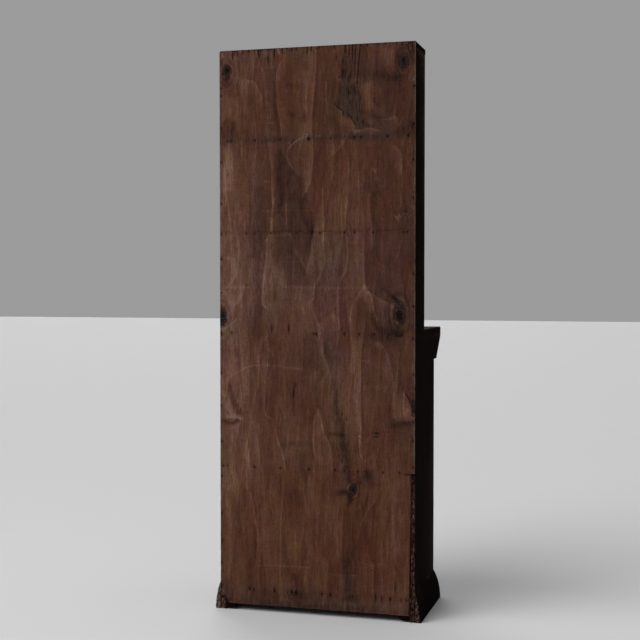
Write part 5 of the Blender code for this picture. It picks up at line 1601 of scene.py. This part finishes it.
def board_wear(node, bare_below, seed):
    """The rule for one side board: a rubbed corner, below a level the bare, dented back edge, and a painted
    shadow line along the sheet's gap.
    """
    low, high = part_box(node)
    back = high.y
    outer = max(abs(low.x), abs(high.x))

    def wear(co):
        inward = back - co.y
        if inward > WORN_DEPTH:
            return Vector((0, 0, 0)), 0.0
        corner = outer - abs(co.x)
        near = bell(inward, 0.004)
        bare = float(fade(bare_below - co.z, 0.0, 0.012))
        foot = float(fade(0.09 - co.z, 0.0, 0.05))
        wave = max(0.0, 0.4 + rough(seed, 0, co.z, (1, 1, 0.05)))
        fray = 0.0006 * wave * math.exp(-corner / 0.0014)
        dark_dent = 0.0
        if co.z < bare_below + 0.02:
            fray += bare * (0.0005 + 0.0005 * rough(co.x, seed, co.z, (0.003, 1, 0.02)))
            fray += bare * 0.0012 * math.exp(-corner / 0.0018)
            fray += foot * 0.0012 * (0.5 + rough(co.x, seed, co.z, (0.002, 1, 0.012)))
            for place, size in DENTS:
                dent = bell(co.z - place, size) * bell(corner - 0.006, 0.005)
                fray += bare * DENT_DEEP * dent
                dark_dent = max(dark_dent, dent)
        joint = foot * bell(corner, 0.0014)
        # Painted shadow: the bare edge stays dark in a line along the gap where the sheet lay
        painted_gap_shadow = bare * bell(corner - GAP_INSET, 0.0024)
        worn = near * max(bare, 0.45 * wave * math.exp(-corner / 0.0012))
        worn *= (1 - joint) * (1 - 0.8 * dark_dent) * (1 - 0.85 * painted_gap_shadow)
        return Vector((0, -fray * near, foot_lift(co, seed, 0.003) * near)), worn
    return wear


for hand, word, seed in ((-1, "left", 61), (1, "right", 73)):
    node = f"side_board_{word}"
    low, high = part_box(node)
    bare_below = BARE_BELOW[word]
    sound_from = bare_below + 0.01
    up = [*steps(0, 0.1, 0.0015), *steps(0.1, sound_from, 0.003), *steps(sound_from, high.z, 0.03)]
    edge = max(abs(low.x), abs(high.x))
    across = [hand * (edge - d) for d in ACROSS_CUTS]
    cuts = (("Z", up), ("X", across), ("Y", [high.y - d for d in DEPTH_CUTS]))
    worn_copy(node, cuts, board_wear(node, bare_below, seed), "Z", seed, BOARD_LOOKS[word])

# %% [markdown]
# ## Nails
#
# The sheet is held by wire nails whose heads have rusted black. There are nearly eighty, all alike but
# none the same, which is what instancing in Geometry Nodes is for: one small shape is placed on every
# listed spot, turned and scaled by chance with a fixed seed, and then made real. The same helper sets the
# screws further down.

# %% Scattering small things with Geometry Nodes
class Scatter(NodeTree):
    """A Geometry Nodes tree that puts a small shape on every point of a mesh."""

    def __init__(self, name, sizes):
        self.tree = bpy.data.node_groups.new(name, "GeometryNodeTree")
        self.tree.interface.new_socket("Geometry", in_out="INPUT", socket_type="NodeSocketGeometry")
        self.sizes = {}
        for label, value in sizes.items():
            kind = "NodeSocketInt" if isinstance(value, int) else "NodeSocketFloat"
            socket = self.tree.interface.new_socket(label, in_out="INPUT", socket_type=kind)
            self.sizes[socket.identifier] = value
        self.tree.interface.new_socket("Geometry", in_out="OUTPUT", socket_type="NodeSocketGeometry")
        self.given = self.tree.nodes.new("NodeGroupInput").outputs
        self.result = self.tree.nodes.new("NodeGroupOutput").inputs[0]

    def chance(self, low, high, seed):
        inputs = {2: low, 3: high, 8: seed}
        return self.node("FunctionNodeRandomValue", inputs, data_type="FLOAT").outputs[1]

    def vector(self, x=0.0, y=0.0, z=0.0):
        return self.node("ShaderNodeCombineXYZ", {0: x, 1: y, 2: z}).outputs[0]

    def finish(self, instances, material):
        """Makes the instances real and gives them their material."""
        real = self.node("GeometryNodeRealizeInstances", {0: instances}).outputs[0]
        painted = self.node("GeometryNodeSetMaterial", {0: real, 2: material}).outputs[0]
        self.tree.links.new(painted, self.result)

    def on(self, name, points, body, slot_name):
        """Runs the tree on the points and keeps the result as a plain mesh piece."""
        seeds = bpy.data.meshes.new(f"{name}_points")
        seeds.from_pydata([tuple(p) for p in points], [], [])
        holder = bpy.data.objects.new(f"{name}_points", seeds)
        bpy.context.scene.collection.objects.link(holder)
        modifier = holder.modifiers.new("scatter", "NODES")
        modifier.node_group = self.tree
        for identifier, value in self.sizes.items():
            modifier[identifier] = value
        bpy.context.view_layer.update()
        evaluated = holder.evaluated_get(bpy.context.evaluated_depsgraph_get())
        mesh = bpy.data.meshes.new_from_object(evaluated)
        mesh.name = name
        holder.modifiers.remove(modifier)
        bpy.data.objects.remove(holder)
        print(f"{name}: {len(points)} places, {len(mesh.polygons)} faces")
        add_piece(name, mesh, body, slot_name)


print("scatter helper ready")

# %% [markdown]
# A hammered head is a ball, flattened and laid upright against the sheet. Most of it sits in its dimple,
# so it could be a disc, but the round rim catches the light as a real one does. Its rust is nearly black,
# with a few brown specks.

# %% Nails in the sheet
RUST_TONES = [
    (0.30, (0.0030, 0.0024, 0.0023)), (0.60, (0.0060, 0.0042, 0.0036)), (0.85, (0.0300, 0.0140, 0.0085)),
]
IRON_IOR = 1.12
NAIL_RADIUS = 0.0026
NAIL_FLATNESS = 0.26
NAIL_LEAN = 0.12
NAIL_SINK = 0.96


def rusty_iron():
    """Black rust with brown specks."""
    finish = Finish("rusty_iron", 8)
    cloud = finish.noise((900, 900, 900), 3.0, 0.6)
    finish.set(Base_Color=finish.colours(cloud, RUST_TONES), Roughness=0.75, IOR=IRON_IOR)
    finish.bump(cloud, 0.5, 0.0002)
    return finish.material


def nail_tree(material):
    """Flattened balls, each turned and scaled by chance."""
    scatter = Scatter("nail_heads", {"Radius": NAIL_RADIUS, "Flatness": NAIL_FLATNESS, "Seed": 4})
    given = scatter.given
    ball = scatter.node("GeometryNodeMeshUVSphere", {0: 10, 1: 6, 2: given["Radius"]}).outputs[0]
    flat = scatter.vector(1.0, 1.0, given["Flatness"])
    upright = scatter.vector(math.radians(90))
    head = scatter.node("GeometryNodeTransform", {0: ball, 3: flat}).outputs[0]
    head = scatter.node("GeometryNodeTransform", {0: head, 2: upright}).outputs[0]
    lean = scatter.chance(-NAIL_LEAN, NAIL_LEAN, given["Seed"])
    turn = scatter.vector(lean, scatter.chance(0.0, math.tau, given["Seed"]))
    rotation = scatter.node("FunctionNodeEulerToRotation", {0: turn}).outputs[0]
    scale = scatter.chance(0.75, 1.25, given["Seed"])
    inputs = {0: given["Geometry"], 2: head, 5: rotation, 6: scale}
    scatter.finish(scatter.node("GeometryNodeInstanceOnPoints", inputs).outputs[0], material)
    return scatter


nail_heads = nail_tree(rusty_iron())
nail_places = [(SHEET_LEFT - u * MM, SHEET_FACE - NAIL_SINK * MM, v * MM) for u, v in nail_spots()]
nail_heads.on("sheet_nails", nail_places, "case", "brass")

# %% [markdown]
# ## Screws
#
# Every hinge leaf has two brass screws and the bolt's plate has four, with a slot turned as the driver
# left it. The slot is a real cut: a Mesh Boolean takes a bar out of the head before it is placed.

# %% Slotted screw heads
HINGE_SCREW_R = 0.0024
PLATE_SCREW_R = 0.0016
HEAD_HEIGHT = 0.0008
SLOT_WIDTH = 0.0006
SLOT_LENGTH = 0.02


def screw_tree(name, turn, radius, material):
    """Slotted heads whose axis, first along Z, is turned about X and Y by two angles in degrees."""
    scatter = Scatter(name, {"Radius": radius, "Height": HEAD_HEIGHT, "Slot width": SLOT_WIDTH, "Seed": 9})
    given = scatter.given
    disc_sizes = {0: 16, 3: given["Radius"], 4: given["Height"]}
    disc = scatter.node("GeometryNodeMeshCylinder", disc_sizes).outputs[0]
    bar_size = scatter.vector(SLOT_LENGTH, given["Slot width"], given["Height"])
    bar = scatter.node("GeometryNodeMeshCube", {0: bar_size}).outputs[0]
    half = scatter.node("ShaderNodeMath", {0: given["Height"], 1: 0.5}, operation="MULTIPLY").outputs[0]
    raised = scatter.vector(0.0, 0.0, half)
    bar = scatter.node("GeometryNodeTransform", {0: bar, 1: raised}).outputs[0]
    cut = scatter.node("GeometryNodeMeshBoolean", {0: disc, 1: bar}, operation="DIFFERENCE").outputs[0]
    upright = scatter.vector(*(math.radians(angle) for angle in turn))
    driven = scatter.vector(0.0, 0.0, scatter.chance(0.0, math.tau, given["Seed"]))
    spin = scatter.node("FunctionNodeEulerToRotation", {0: driven}).outputs[0]
    stand = scatter.node("FunctionNodeEulerToRotation", {0: upright}).outputs[0]
    both = {0: stand, 1: spin}
    rotation = scatter.node("FunctionNodeRotateRotation", both, rotation_space="LOCAL").outputs[0]
    inputs = {0: given["Geometry"], 2: cut, 5: rotation}
    scatter.finish(scatter.node("GeometryNodeInstanceOnPoints", inputs).outputs[0], material)
    return scatter


screw_brass = old_brass("screw_brass", 90)
to_right = screw_tree("screws_facing_right", (0, 90), HINGE_SCREW_R, screw_brass)
to_left = screw_tree("screws_facing_left", (0, -90), HINGE_SCREW_R, screw_brass)
to_back = screw_tree("screws_facing_back", (-90, 0), PLATE_SCREW_R, screw_brass)
print("three kinds of screw ready")

# %% [markdown]
# A screw belongs in the middle of its leaf, a hair proud of the brass. The places are measured from the
# CAD pieces' boxes, so that they would follow if a hinge were moved. Written coordinates would not.

# %% Screws in the hinges and the bolt's plate
SCREW_SPREAD = 0.017
LEAF_MIDDLE = 0.008
LEAF_FACE = 0.00015
FLUSH = 0.00008
HALF_HEAD = HEAD_HEIGHT / 2
PLATE_T = 0.0012
PLATE_MARGIN = 0.0026


def leaf_screws(word, side):
    """Two places on each leaf of one door's hinges, on the case's leaf or the door's."""
    places = []
    for level in ("foot", "top"):
        low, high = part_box(f"{side}_leaf_{word}_{level}")
        pin_low, pin_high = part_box(f"hinge_pin_{word}_{level}")
        pivot = (pin_low.x + pin_high.x) / 2
        outward = math.copysign(1, pivot) * (1 if side == "case" else -1)
        face = pivot + outward * (LEAF_FACE - FLUSH + HALF_HEAD)
        middle = (low.z + high.z) / 2
        places += [(face, high.y - LEAF_MIDDLE, middle + shift) for shift in (-SCREW_SPREAD, SCREW_SPREAD)]
    return places


for word, case_tree, door_tree in (("left", to_right, to_left), ("right", to_left, to_right)):
    case_tree.on(f"case_screws_{word}", leaf_screws(word, "case"), "case", "brass")
    door_tree.on(f"{word}_door_screws", leaf_screws(word, "door"), f"{word}_door", "brass")

guide_low, guide_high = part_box("bolt_guide")
plate_face = guide_low.y + PLATE_T
plate_places = [(x, plate_face - HALF_HEAD + FLUSH, z)
                for x in (guide_low.x + PLATE_MARGIN, guide_high.x - PLATE_MARGIN)
                for z in (guide_low.z + PLATE_MARGIN, guide_high.z - PLATE_MARGIN)]
to_back.on("bolt_plate_screws", plate_places, "left_door", "brass")

# %% [markdown]
# ## Dressing the CAD pieces
#
# A CAD piece keeps its mesh and only changes its material. Which way the grain runs follows the board: up
# in sides, stiles and panels, and across in shelves, rails and the counter.

# %% Materials for every CAD piece
STAINED_UP = ("side_board_", "_stile", "_door_panel", "glue_block")
STAINED_ACROSS = ("counter_board", "top_board", "drawer_rail", "plinth_front", "base_rail",
                  "_door_top_rail", "_door_foot_rail", "drawer_front")
STAINED_DEEP = ("plinth_left", "plinth_right")
BARE_ACROSS = ("upper_shelf", "lower_shelf", "bottom_board", "drawer_back", "drawer_bottom")
BARE_DEEP = ("drawer_side", "drawer_runner")
METAL = ("leaf", "hinge_pin", "bolt_", "latch_spindle")
HANDLED = ("_door_", "drawer_front")


def belongs(name, words):
    """Whether a name has any of the words in it."""
    return any(word in name for word in words)


def finish_for(name, seed):
    """The material for a CAD piece, chosen by what its name says it is; wood that no list names is bare."""
    label = f"{name}_finish"
    if "knob" in name:
        return knob_wood(label, seed)
    if belongs(name, METAL):
        return old_brass(label, seed)
    for words, axis in ((STAINED_UP, "Z"), (STAINED_ACROSS, "X"), (STAINED_DEEP, "Y")):
        if belongs(name, words):
            return stained_tree(label, axis, seed, belongs(name, HANDLED)).material
    for words, axis in ((BARE_ACROSS, "X"), (BARE_DEEP, "Y")):
        if belongs(name, words):
            return bare(label, axis, seed)
    return bare(label, "Z", seed)


FIRST_SEED = 20
for seed, (name, node) in enumerate(sorted(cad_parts.items()), FIRST_SEED):
    node.data.materials.clear()
    node.data.materials.append(finish_for(name, seed))
print("finished", len(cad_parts), "CAD pieces")
